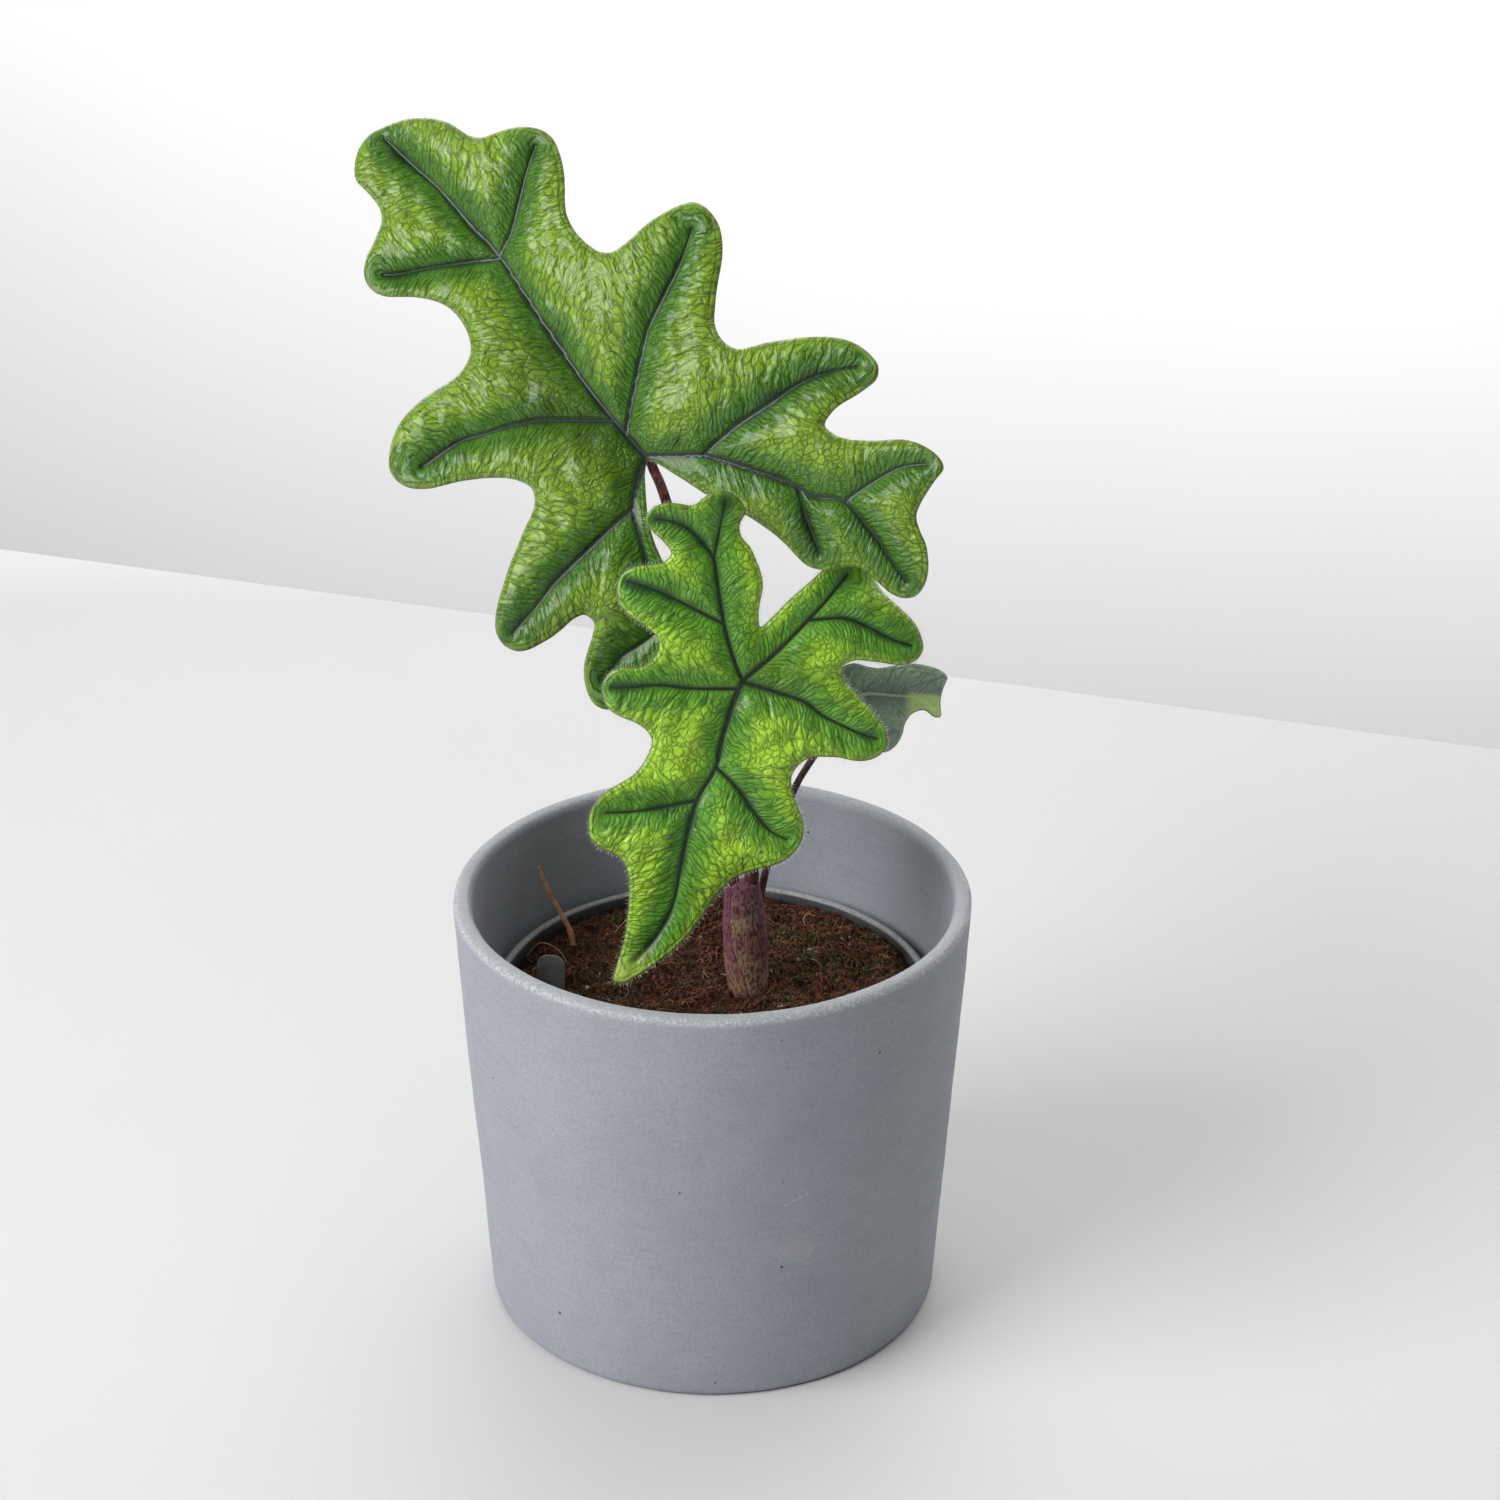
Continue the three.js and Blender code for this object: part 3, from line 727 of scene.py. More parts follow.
def leaf_material(name, deep, mid, light, roughness, spacing, vein_colour, tip, sheen=0.0):
    """The upper side: dark along the veins, yellow-green between them, glossy and quilted.

    tip says where the blade's other colour starts and ends along the midrib, how far to the left
    it reaches, and what it is.
    """
    material, m, shader = new_material(
        name, IOR=1.42, Coat_Weight=0.4, Coat_Roughness=0.1, Sheen_Weight=sheen, Sheen_Roughness=0.5
    )
    vein, rib, edge = m.value("vein"), m.value("rib"), m.value("edge")
    quilt = quilting(m, spacing)
    net, patch = quilt["Net"], quilt["Patch"]
    spread = vein + (patch - 0.5) * 9.0
    away, aside, _ = m.outs("ShaderNodeSeparateXYZ", {"Vector": m.vector("flat")}).values()
    start, end, side, tip_colour = tip
    colour = m.paint(
        # deep green beside the veins: partly the leaf's own colour, partly painted shade of the valleys the
        # veins lie in
        deep,
        (m.fade(spread, -0.8, 2.4), mid),
        (m.fade(spread, 3.0, 9.0, 0.0, 0.95), light),
        (m.fade(edge, 0.6, 3.0, 0.5, 0.0) * m.fade(vein, 1.0, 4.0), light),
        # painted shade beside the midrib: the green at half brightness and browner
        (m.value("painted_shade") * m.fade(patch, 0.3, 0.7, 0.9, 0.5),
         tuple(c * 0.5 + 0.012 * (1 - k) for k, c in enumerate(mid))),
        (m.fade(net, 0.0, 1.0, 0.22, 0.0), deep),
        (quilt["Groove"] * 0.76, deep),
        (m.fade(rib, 0.6, 1.15, 1.0, 0.0), vein_colour),
        # a paler line down each vein's middle: partly the rib's own colour, partly a painted highlight
        (m.fade(rib, 0.05, 0.5, 0.7, 0.0), tuple(0.8 * c + 0.014 for c in vein_colour)),
        (m.fade(away, start, end, 0.0, 0.85) * m.fade(aside, side, side + 1.2, 1.0, 0.0), tip_colour),
        (m.fade(edge, 0.15, 0.4, 0.85, 0.0), (0.17, 0.19, 0.10)),
    )
    gloss = m.fade(rib, 0.8, 2.0, 0.2, 0.0) + m.fade(net, 0.0, 1.0, 0.12, 0.0) + roughness
    relief = quilt["Height"] * m.fade(rib, 0.7, 1.8, 0.1, 1.0)
    m.fill(shader, Base_Color=colour, Roughness=gloss, Normal=m.bump(relief))
    return material


def leaf_back_material():
    """The underside: paler, dull, with the ribs standing out."""
    material, m, shader = new_material("Leaf underside", IOR=1.4)
    quilt = quilting(m)
    colour = m.paint(
        (0.12, 0.23, 0.06),
        (m.fade(quilt["Patch"], 0.35, 0.65), (0.17, 0.30, 0.08)),
        (quilt["Groove"] * 0.5, (0.22, 0.34, 0.13)),
        (m.fade(m.value("rib"), 0.8, 1.8, 1.0, 0.0), (0.26, 0.28, 0.13)),
    )
    roughness = m.fade(quilt["Net"], 0.0, 1.0, 0.62, 0.5)
    m.fill(shader, Base_Color=colour, Roughness=roughness, Normal=m.bump(quilt["Height"] * -0.7))
    return material


def stalk_material(name, main, fleck, band, roughness=0.42, fleck_size=0.55):
    """Stem and stalks: streaked, flecked and banded."""
    material, m, shader = new_material(name, IOR=1.4)
    marks = m.group("Mottle", {"Place": m.place(), "Fleck Size": fleck_size, "Band Size": 3.2})
    streaks = marks["Height"]
    colour = m.paint(
        main,
        (marks["Bands"], band),
        (m.value("blush") * 0.8, (0.24, 0.075, 0.13)),
        (marks["Flecks"] * 0.85, fleck),
    )
    roughness = m.fade(streaks, 0.3, 0.7, roughness - 0.08, roughness + 0.12)
    m.fill(shader, Base_Color=colour, Roughness=roughness, Normal=m.bump(streaks * 0.25))
    return material


def cement_material():
    """Matte grey cement with cloudy brushing, pinholes and a paler, speckled rim that is partly wear and
    partly a painted highlight.
    """
    material, m, shader = new_material("Grey cement", IOR=1.45)
    place = m.place()
    brushed = m.noise(m.place((0.12, 0.12, 1.0)), 1.3, 4.0, 0.6)
    cloud = m.noise(place, 26.0, 4.0, 0.6)
    grain = m.noise(place, 0.8, 3.0, 0.75)
    pits = m.group("Speckle", {"Place": place, "Spot Spacing": 8.5, "Spot Radius": 0.42, "Share": 0.24})
    flecks = m.group("Speckle", {"Place": place, "Spot Spacing": 2.6, "Spot Radius": 0.24, "Share": 0.3})
    chips_and_glints = m.fade(m.noise(place, 0.7, 4.0, 0.7), 0.42, 0.6)
    rim = m.value("rim")
    colour = m.paint(
        (0.33, 0.348, 0.394),
        (m.fade(cloud, 0.3, 0.7), (0.365, 0.382, 0.428)),
        (m.fade(brushed, 0.35, 0.75, 0.0, 0.3), (0.41, 0.428, 0.468)),
        (m.fade(grain, 0.4, 0.66, 0.0, 0.55), (0.262, 0.28, 0.312)),
        # a paler rim band with pale chips, and a pale speckled ring on its outer edge: partly wear, partly a
        # painted highlight
        (rim * 0.5, (0.42, 0.428, 0.445)),
        (rim * chips_and_glints * 0.35, (0.55, 0.55, 0.56)),
        (m.value("lip") * chips_and_glints * 0.75, (0.68, 0.68, 0.68)),
        (flecks["Spots"] * 0.4, (0.13, 0.135, 0.14)),
        (pits["Spots"] * 0.85, (0.06, 0.065, 0.07)),
        (scuff_mask(m, place), (0.48, 0.485, 0.495)),
    )
    height = grain * 0.12 + brushed * 0.05 + pits["Height"] * 0.3 + rim * chips_and_glints * 0.12
    roughness = m.fade(brushed, 0.3, 0.7, 0.72, 0.56)
    m.fill(shader, Base_Color=colour, Roughness=roughness, Normal=m.bump(height, 0.9))
    return material


def scuff_mask(m, place):
    """A rubbed oval patch and one thin scratch on the front of the pot."""
    x, y, z = m.outs("ShaderNodeSeparateXYZ", {"Vector": place}).values()
    across, up = (x - 22.3) / 4.6, (z - 46.0) / 3.0
    reach = m.math("SQRT", across * across + up * up)
    outline = m.fade(reach, 0.85, 1.0) * m.fade(reach, 1.0, 1.15, 1.0, 0.0)
    patch = outline * 0.55 + m.fade(reach, 0.7, 1.0, 0.3, 0.0)
    scratch = m.fade(abs(z - 62.5 - (x - 22.0) * 0.42), 0.12, 0.42, 1.0, 0.0)
    scratch = scratch * m.fade(x, 18.5, 19.5) * m.fade(x, 25.0, 26.5, 1.0, 0.0)
    front = m.math("LESS_THAN", y, 0.0)
    worn = m.fade(m.noise(place, 1.2), 0.4, 0.6)
    return m.math("MAXIMUM", patch, scratch) * front * (worn * 0.5 + 0.5)


def plastic_material():
    """Thin dark moulded plastic, dusty, with a paler scuffed rim."""
    material, m, shader = new_material("Nursery pot plastic", IOR=1.5)
    place = m.place()
    dust = m.noise(place, 9.0, 5.0, 0.65)
    scuff = m.noise(place, 0.8, 3.0, 0.6)
    colour = m.paint(
        (0.022, 0.023, 0.025),
        (m.fade(dust, 0.4, 0.75, 0.0, 0.6), (0.09, 0.088, 0.085)),
        (m.value("rim") * m.fade(scuff, 0.25, 0.6, 0.55, 1.0) * 0.85, (0.40, 0.405, 0.41)),
    )
    roughness = m.fade(dust, 0.35, 0.7, 0.45, 0.68)
    m.fill(shader, Base_Color=colour, Roughness=roughness, Normal=m.bump(scuff * 0.05))
    return material


def soil_material():
    """Dark crumbly peat with a greenish film in patches."""
    material, m, shader = new_material("Soil bed", IOR=1.35)
    place = m.place()
    crumbs = m.noise(place, 1.6, 5.0, 0.7)
    colour = m.paint(
        (0.010, 0.005, 0.003),
        (m.fade(crumbs, 0.35, 0.65), (0.085, 0.034, 0.018)),
        (m.fade(m.noise(place, 9.0), 0.55, 0.7, 0.0, 0.6), (0.045, 0.05, 0.018)),
    )
    roughness = m.fade(crumbs, 0.3, 0.7, 0.95, 0.75)
    m.fill(shader, Base_Color=colour, Roughness=roughness, Normal=m.bump(crumbs * 0.8))
    return material


def litter_material(name, dark, pale, roughness=0.85, grain_size=0.5):
    """Fibres, crumbs, moss and bark: each body takes its own tone between two colours."""
    material, m, shader = new_material(name, IOR=1.35)
    grain = m.noise(m.place(), grain_size, 3.0, 0.65)
    tone = m.value("tone") + m.fade(grain, 0.3, 0.7, -0.25, 0.25)
    roughness = m.fade(grain, 0.3, 0.7, roughness + 0.05, roughness - 0.1)
    colour = m.paint(dark, (m.fade(tone, 0.0, 1.0), pale))
    m.fill(shader, Base_Color=colour, Roughness=roughness, Normal=m.bump(grain * 0.15))
    return material


def hair_material():
    material, m, shader = new_material("Leaf hairs", IOR=1.4)
    tint = m.noise(m.place(), 3.0, 2.0)
    colour = m.paint((0.68, 0.75, 0.55), (m.fade(tint, 0.3, 0.7), (0.85, 0.88, 0.78)))
    m.fill(shader, Base_Color=colour, Roughness=m.fade(tint, 0.3, 0.7, 0.4, 0.55))
    return material


def label_material():
    material, m, shader = new_material("Blank label", IOR=1.45)
    stain = m.noise(m.place(), 2.5, 4.0, 0.6)
    colour = m.paint((0.12, 0.125, 0.12), (m.fade(stain, 0.4, 0.75), (0.10, 0.085, 0.07)))
    roughness = m.fade(stain, 0.3, 0.7, 0.4, 0.65)
    m.fill(shader, Base_Color=colour, Roughness=roughness, Normal=m.bump(stain * 0.1))
    return material


# ------------------------------------------------------------------ pots


def turned_piece(name, profile, segments, material, node, rim_from, wobble, lip=None):
    """A piece turned about Z from [radius, height] points that start and end on the axis.

    rim_from is the height where its rim begins, wobble how far it strays from round, and lip the
    radius, height and width of a paler ring, partly wear and partly a painted highlight.
    """
    profile = np.asarray(profile, float)
    inner = profile[1:-1]
    turn = np.arange(segments) * 2 * math.pi / segments
    rings = np.empty((len(inner), segments, 3))
    rings[..., 0] = inner[:, :1] * np.cos(turn)
    rings[..., 1] = inner[:, :1] * np.sin(turn)
    rings[..., 2] = inner[:, 1:]
    points = rings.reshape(-1, 3)
    out = points * (1, 1, 0)
    out /= np.linalg.norm(out, axis=1)[:, None]
    dents = lumps(points, 40, 3) + 0.4 * lumps(points, 12, 4)
    points = points + out * (wobble * dents)[:, None]
    ends = np.array([[0, 0, profile[0, 1]], [0, 0, profile[-1, 1]]])
    faces = loft_faces(len(inner), segments)[:-2]
    low, high = len(points), len(points) + 1
    last = (len(inner) - 1) * segments
    for j in range(segments):
        k = (j + 1) % segments
        faces.append((low, k, j))
        faces.append((high, last + j, last + k))
    vertices = np.vstack([points, ends])
    values = {"rim": rise(vertices[:, 2], rim_from, rim_from + 1.2)}
    if lip:
        lip_radius, lip_height, lip_width = lip
        off = np.linalg.norm(vertices[:, :2], axis=1) - lip_radius
        above = vertices[:, 2] - lip_height
        values["lip"] = np.exp(-((off**2 + above**2) / lip_width**2))
    new_piece(name, vertices, faces, [material], [node], values)


def rounded_profile(corners, radius, step):
    """Points along a chain of corners with every inner corner rounded."""
    corners = [np.array(c, float) for c in corners]
    path = [corners[0]]
    for before, corner, after in zip(corners, corners[1:], corners[2:]):
        back, ahead = before - corner, after - corner
        reach = min(radius, 0.45 * np.linalg.norm(back), 0.45 * np.linalg.norm(ahead))
        start = corner + back / np.linalg.norm(back) * reach
        end = corner + ahead / np.linalg.norm(ahead) * reach
        for t in np.linspace(0, 1, 7):
            path.append((1 - t) ** 2 * start + 2 * t * (1 - t) * corner + t * t * end)
    path.append(corners[-1])
    fine = [path[0]]
    for a, b in zip(path, path[1:]):
        parts = max(1, round(np.linalg.norm(b - a) / step))
        fine += [a + (b - a) * k / parts for k in range(1, parts + 1)]
    return fine


def build_cover_pot(looks):
    """The thick-walled tapered pot, chamfered along its rim."""
    _, (top, _, height) = frame_box("cover_pot")
    wall = looks.wall / MM
    foot = top - 8.0
    floor, chamfer = 6.0, 0.9
    corners = [
        (0, 0), (foot, 0), (top, height - 2 * chamfer), (top - chamfer, height - 0.3),
        (top - wall / 2, height), (top - wall + chamfer, height - 0.3),
        (top - wall, height - 2 * chamfer), (foot - wall + 0.4, floor), (0, floor),
    ]
    profile = rounded_profile(corners, 2.4, 2.5)
    # the pale speckled ring on the rim's outer edge: partly wear, partly a painted highlight
    lip = (top - 0.4, height - 1.0, 1.0)
    turned_piece(
        "cover_pot_shell", profile, 240, cement_material(), "cover_pot", height - 1.8, 0.12, lip
    )


def build_nursery_pot():
    """The thin pot inside the cover pot, with a band below its rim."""
    (_, _, bottom), (rim, _, top) = frame_box("nursery_pot")
    neck, foot, wall = rim - 2.4, 45, 1.2
    corners = [
        (0, bottom), (foot, bottom), (neck, top - 8), (rim, top - 7.8), (rim, top - 1.2),
        (neck + 0.9, top), (neck - 0.4, top - 0.5), (neck - wall, top - 8), (foot - 1.1, bottom + wall),
        (0, bottom + wall),
    ]
    profile = rounded_profile(corners, 0.7, 3.0)
    turned_piece(
        "nursery_pot_shell", profile, 200, plastic_material(), "nursery_pot", top - 1.4,
        0.15,
    )


# ------------------------------------------------------------------ soil


def soil_height(points):
    """The soil's top at each [x, y]: a low mound, lumpy, dipping beside the pot wall."""
    points = np.asarray(points, float)
    radius = np.linalg.norm(points, axis=1)
    top = 90.4 - 1.4 * (radius / 55) ** 2 - 1.2 * rise(radius, 51, 57)
    top += 1.0 * (points[:, 0] + 0.5 * points[:, 1]) / 55
    top += 0.55 * lumps(points, 16, 20) + 0.4 * lumps(points, 6, 21)
    top += 0.8 * np.exp(-((np.linalg.norm(points - STEM_PLACE, axis=1) / 9) ** 2))
    return top


def build_soil(looks):
    """A lumpy bed that fills the nursery pot, and what lies on it."""
    (_, _, bottom), (radius, _, _) = frame_box("potting_soil")
    sides = 260
    turn = np.arange(sides) * 2 * math.pi / sides
    circle = np.column_stack([np.cos(turn), np.sin(turn)])
    rings = []
    for r, z in ((0.3, bottom), (30, bottom), (43.2, bottom), (48, 40), (radius - 1.2, 80)):
        rings.append(np.column_stack([circle * r, np.full(sides, z)]))
    for r in np.concatenate([np.linspace(radius - 0.3, 4, 105), [1.5]]):
        flat = circle * r
        z = soil_height(flat) + 0.7 * lumps(flat, 2.6, 22) + 0.22 * lumps(flat, 1.2, 23)
        rings.append(np.column_stack([flat, z]))
    new_piece(
        "soil_bed", np.vstack(rings), loft_faces(len(rings), sides), [soil_material()],
        ["potting_soil"],
    )
    rng = np.random.default_rng(11)
    scatter_crumbs(rng, radius, looks.crumbs)
    scatter_fibres(rng, radius, looks.fibres)
    scatter_moss(rng, radius, looks.moss)


def on_soil(rng, radius):
    """A random spot on the soil, clear of the stem."""
    while True:
        r = radius * math.sqrt(rng.uniform())
        a = rng.uniform(0, 2 * math.pi)
        spot = np.array([r * math.cos(a), r * math.sin(a)])
        if np.linalg.norm(spot - STEM_PLACE) > STEM_CLEARANCE:
            return spot


PEBBLE_FACES = [
    (0, 1, 2), (0, 2, 3), (0, 3, 4), (0, 4, 5), (0, 5, 1), (1, 6, 2), (2, 6, 7), (2, 7, 3), (3, 7, 8),
    (3, 8, 4), (4, 8, 9), (4, 9, 5), (5, 9, 10), (5, 10, 1), (1, 10, 6), (11, 7, 6), (11, 8, 7),
    (11, 9, 8), (11, 10, 9), (11, 6, 10),
]


def pebble(rng, size):
    """A small uneven lump with twenty faces."""
    radius, height = 0.894, 0.447
    belts = []
    for first, z in ((0, height), (math.pi / 5, -height)):
        turn = np.arange(5) * 2 * math.pi / 5 + first
        belts.append(np.column_stack([radius * np.cos(turn), radius * np.sin(turn), np.full(5, z)]))
    points = np.vstack([[0, 0, 1.0], *belts, [0, 0, -1.0]])
    points *= rng.uniform(0.65, 1.25, (12, 1)) * size * rng.uniform(0.5, 1.0, 3)
    spin = np.linalg.qr(rng.normal(size=(3, 3)))[0]
    return points @ (spin * np.sign(np.linalg.det(spin)))


def scatter_crumbs(rng, radius, count):
    heap, pale = Heap(), Heap()
    for number in range(count):
        spot = on_soil(rng, radius - 0.8)
        size = 0.25 + 0.9 * rng.uniform() ** 3
        z = soil_height([spot])[0] + 0.35 * size
        target = pale if number % 34 == 0 else heap
        tone = 0.55 * rng.uniform() + 0.45 * rise(lumps([spot], 11, 40), -1.0, 1.0)[0]
        target.add(pebble(rng, size) + (*spot, z), PEBBLE_FACES, tone)
    bark = litter_material("Peat crumbs", (0.008, 0.004, 0.003), (0.15, 0.06, 0.032), grain_size=0.6)
    grit = litter_material("Pale grit", (0.16, 0.15, 0.12), (0.46, 0.44, 0.38))
    heap.piece("soil_crumbs", [bark], "soil")
    pale.piece("soil_grit", [grit], "soil")


def curled(rng, spot, length, lift):
    """The points of a short random curl that lies on the soil."""
    steps = 7
    heading, bend = rng.uniform(0, 2 * math.pi), rng.normal(0, 0.45)
    points = []
    at = np.array(spot, float)
    for k in range(steps):
        t = k / (steps - 1)
        z = soil_height([at])[0] + lift * math.sin(math.pi * t) + 0.05 + 0.15 * rng.uniform()
        points.append((*at, z))
        at = at + length / steps * np.array([math.cos(heading), math.sin(heading)])
        heading += bend + rng.normal(0, 0.25)
        reach = np.linalg.norm(at)
        if reach > FIBRE_REACH:
            at *= FIBRE_REACH / reach
    return np.array(points)


def scatter_fibres(rng, radius, count):
    brown, pale = Heap(), Heap()
    for number in range(count):
        is_pale = number % 60 == 0
        length = rng.uniform(3, 8) if is_pale else rng.uniform(2, 8)
        path = curled(rng, on_soil(rng, radius - 1.5), length, rng.uniform(0.1, 1.8 if is_pale else 1.5))
        thick = rng.uniform(0.10, 0.2) if is_pale else rng.uniform(0.06, 0.17)
        taper = thick * np.linspace(1.0, 0.5, len(path))
        vertices, faces = tube(path, taper, 3 if thick < 0.12 else 4)
        (pale if is_pale else brown).add(vertices, faces, rng.uniform())
    coir = litter_material("Coir fibre", (0.010, 0.004, 0.0025), (0.29, 0.108, 0.05), 0.8)
    straw = litter_material("Pale fibre", (0.20, 0.12, 0.07), (0.42, 0.29, 0.18), 0.7)
    brown.piece("soil_fibres", [coir], "soil")
    pale.piece("pale_fibres", [straw], "soil")


def scatter_moss(rng, radius, count):
    """Tufts of tiny leaflets gathered in patches."""
    heap = Heap()
    patches = [on_soil(rng, radius - 4) for _ in range(30)]
    patches += [np.array([rng.uniform(14, 50), rng.uniform(-2, 38)]) for _ in range(30)]
    patches += [np.array([rng.uniform(-40, -24), rng.uniform(-18, 10)]) for _ in range(10)]
    for _ in range(count):
        patch = patches[rng.integers(len(patches))]
        spot = patch + rng.normal(0, 2.6, 2)
        if np.linalg.norm(spot) > radius - 1 or np.linalg.norm(spot - STEM_PLACE) < STEM_CLEARANCE:
            continue
        heading = rng.uniform(0, 2 * math.pi)
        length, width = rng.uniform(0.6, 1.5), rng.uniform(0.15, 0.32)
        ahead = np.array([math.cos(heading), math.sin(heading), rng.uniform(0.2, 1.3)])
        ahead *= length / np.linalg.norm(ahead)
        side = width * np.array([-math.sin(heading), math.cos(heading), 0])
        foot = np.array([*spot, soil_height([spot])[0] + 0.1])
        middle = foot + 0.5 * ahead
        up = np.array([0, 0, 0.12])
        vertices = np.array([foot, middle + side, foot + ahead, middle - side, middle + up, middle - up])
        faces = [(0, 3, 4), (3, 2, 4), (2, 1, 4), (1, 0, 4), (3, 0, 5), (2, 3, 5), (1, 2, 5), (0, 1, 5)]
        heap.add(vertices, faces, rng.uniform())
    moss = litter_material("Moss", (0.02, 0.034, 0.009), (0.17, 0.21, 0.05), 0.75)
    heap.piece("soil_moss", [moss], "soil")


# ------------------------------------------------------------------ stem and stalks


def half_oval(side, half_width, depth, lip, twist):
    """Points round one half of an oval column: its outer curve, then its flat inner face."""
    angle = np.linspace(-0.5 * math.pi, 0.5 * math.pi, 41) + twist + (0 if side > 0 else math.pi)
    grooves = 0.012 * np.sin(13 * angle + 1.5 * side) + 0.010 * np.sin(29 * angle)
    swell = 1 + grooves
    swell[-5:] += lip * np.array([0.3, 0.8, 1, 0.9, 0.3])
    outer = np.column_stack([half_width * np.cos(angle), depth * np.sin(angle)]) * swell[:, None]
    share = np.linspace(0.92, 0.08, 7)[:, None]
    inner = share * outer[-1] + (1 - share) * outer[0]
    apart = 0.01 * np.array([math.cos(twist), math.sin(twist)]) * side
    return np.vstack([outer, inner]) + apart


def build_stem():
    """The two sheaths that clasp each other into one column, with fine ridges and a lip."""
    looks = {
        "stem_sheath_old": (-1, "sheath_old", 0.035, stalk_material(
            "Old sheath", (0.36, 0.21, 0.12), (0.10, 0.035, 0.04), (0.26, 0.12, 0.11), 0.5, 0.62)),
        "stem_sheath_new": (1, "sheath_new", 0.0, stalk_material(
            "New sheath", (0.42, 0.28, 0.17), (0.085, 0.028, 0.035), (0.28, 0.13, 0.11), 0.45, 0.62)),
    }
    rings = 90
    for node, (side, slot, lip, material) in looks.items():
        (_, _, bottom), (_, _, top) = frame_box(node)
        rows = []
        for t in np.linspace(0, 1, rings):
            z = bottom + (top - bottom) * t
            width = np.interp(t, (0, 0.25, 0.5, 0.75, 1), (5.0, 5.7, 6.0, 5.5, 4.5))
            depth = np.interp(t, (0, 0.5, 0.8, 1), (4.7, 4.6, 4.0, 2.9))
            close = 1.0 - 0.35 * rise(np.array([t]), 0.97, 1.0)[0]
            twist = -0.75 * rise(np.array([t]), 0.1, 0.75)[0] + 0.06 * math.sin(9 * t)
            ring = half_oval(side, width, depth, lip, twist)
            ring *= close * (1 + 0.012 * math.sin(23 * t + side))
            centre = (STEM_PLACE[0] - 0.05 * (z - bottom), STEM_PLACE[1])
            rows.append(np.column_stack([ring + centre, np.full(len(ring), z)]))
        sides = len(rows[0])
        vertices = np.vstack(rows)
        height, across = vertices[:, 2], vertices[:, 0] - 8
        if side > 0:
            streak = 0.8 * rise(across, 2.5, 5.5) * rise(height, 92, 108)
            blush = np.maximum(rise(height, 112, 122), streak)
        else:
            blush = rise(height, 96, 108) * rise(-across, -1.0, 2.5)
        faces = loft_faces(rings, sides)
        new_piece(node + "_skin", vertices, faces, [material], [node], {"blush": blush})


PETIOLES = {
    "petiole_large": {
        "route": [(9.6, 0.4, 112), (10.45, 1, 126.5), (9, 5, 150), (-3, 16, 187), (-12, 25.5, 221),
                  (-16, 28, 231.5)],
        "leaf": LARGE_LEAF,
        "radii": (2.0, 1.3),
        "colours": ((0.13, 0.025, 0.035), (0.05, 0.012, 0.016), (0.22, 0.07, 0.07)),
    },
    "petiole_front": {
        "route": [(6.4, 0.4, 112), (5.05, 0.5, 126.5), (5.5, 1.5, 148), (8, 1, 170), (8.5, -3, 182.5)],
        "leaf": FRONT_LEAF,
        "radii": (2.0, 1.2),
        "colours": ((0.15, 0.04, 0.04), (0.06, 0.02, 0.02), (0.24, 0.12, 0.08)),
    },
    "petiole_small": {
        "route": [(12, 7.2, 90), (13.2, 6.6, 118), (20.5, 8.4, 144), (27, 11, 156), (33.5, 13.5, 165)],
        "leaf": SMALL_LEAF,
        "radii": (1.1, 0.9),
        "colours": ((0.10, 0.04, 0.035), (0.045, 0.02, 0.018), (0.16, 0.08, 0.06)),
    },
}


def build_petioles():
    """Each stalk runs out of the stem and ends along the underside of its leaf's midrib."""
    for node, stalk in PETIOLES.items():
        leaf = stalk["leaf"]
        along, _, out = leaf_axes(leaf)
        join = np.array(leaf["join"], float)
        start, end = stalk["radii"]
        route = [*stalk["route"], join - out * (end + 3.0), join + along * 5 - out * (end * 0.6 + 4.2)]
        path = spline(route, 0.8)
        t = np.linspace(0, 1, len(path))
        radii = start + (end - start) * t
        radii *= 1 - 0.55 * rise(t, 0.955, 1.0)
        radii += 0.05 * np.sin(t * 60) * (1 - t)
        vertices, faces = tube(path, radii, 28)
        material = stalk_material(node.replace("_", " ").capitalize(), *stalk["colours"])
        new_piece(node + "_stalk", vertices, faces, [material], [node])


# ------------------------------------------------------------------ leaves


def build_hairs(leaf, vertices, rim, material, reach, every, seed):
    """Fine hairs that stand out from the blade's rim, one on every so many of its edges."""
    rng = np.random.default_rng(seed)
    _, _, out = leaf_axes(leaf)
    heap = Heap()
    for a, b in rim[::every]:
        start, end = vertices[a], vertices[b]
        side = np.cross(end - start, out)
        side /= np.linalg.norm(side)
        foot = start + rng.uniform() * (end - start)
        length = reach * rng.uniform(0.45, 1.0)
        lean = side + 0.35 * rng.normal(size=3) + 0.2 * out
        root, tip = foot - 0.1 * side - 0.15 * out, foot + length * (lean + 0.25 * out)
        body, faces = tube([root, foot + 0.5 * length * lean, tip], (0.055, 0.04, 0.015), 3)
        heap.add(body, faces, 0.5)
    heap.piece(leaf["node"] + "_hairs", [material], leaf["node"])


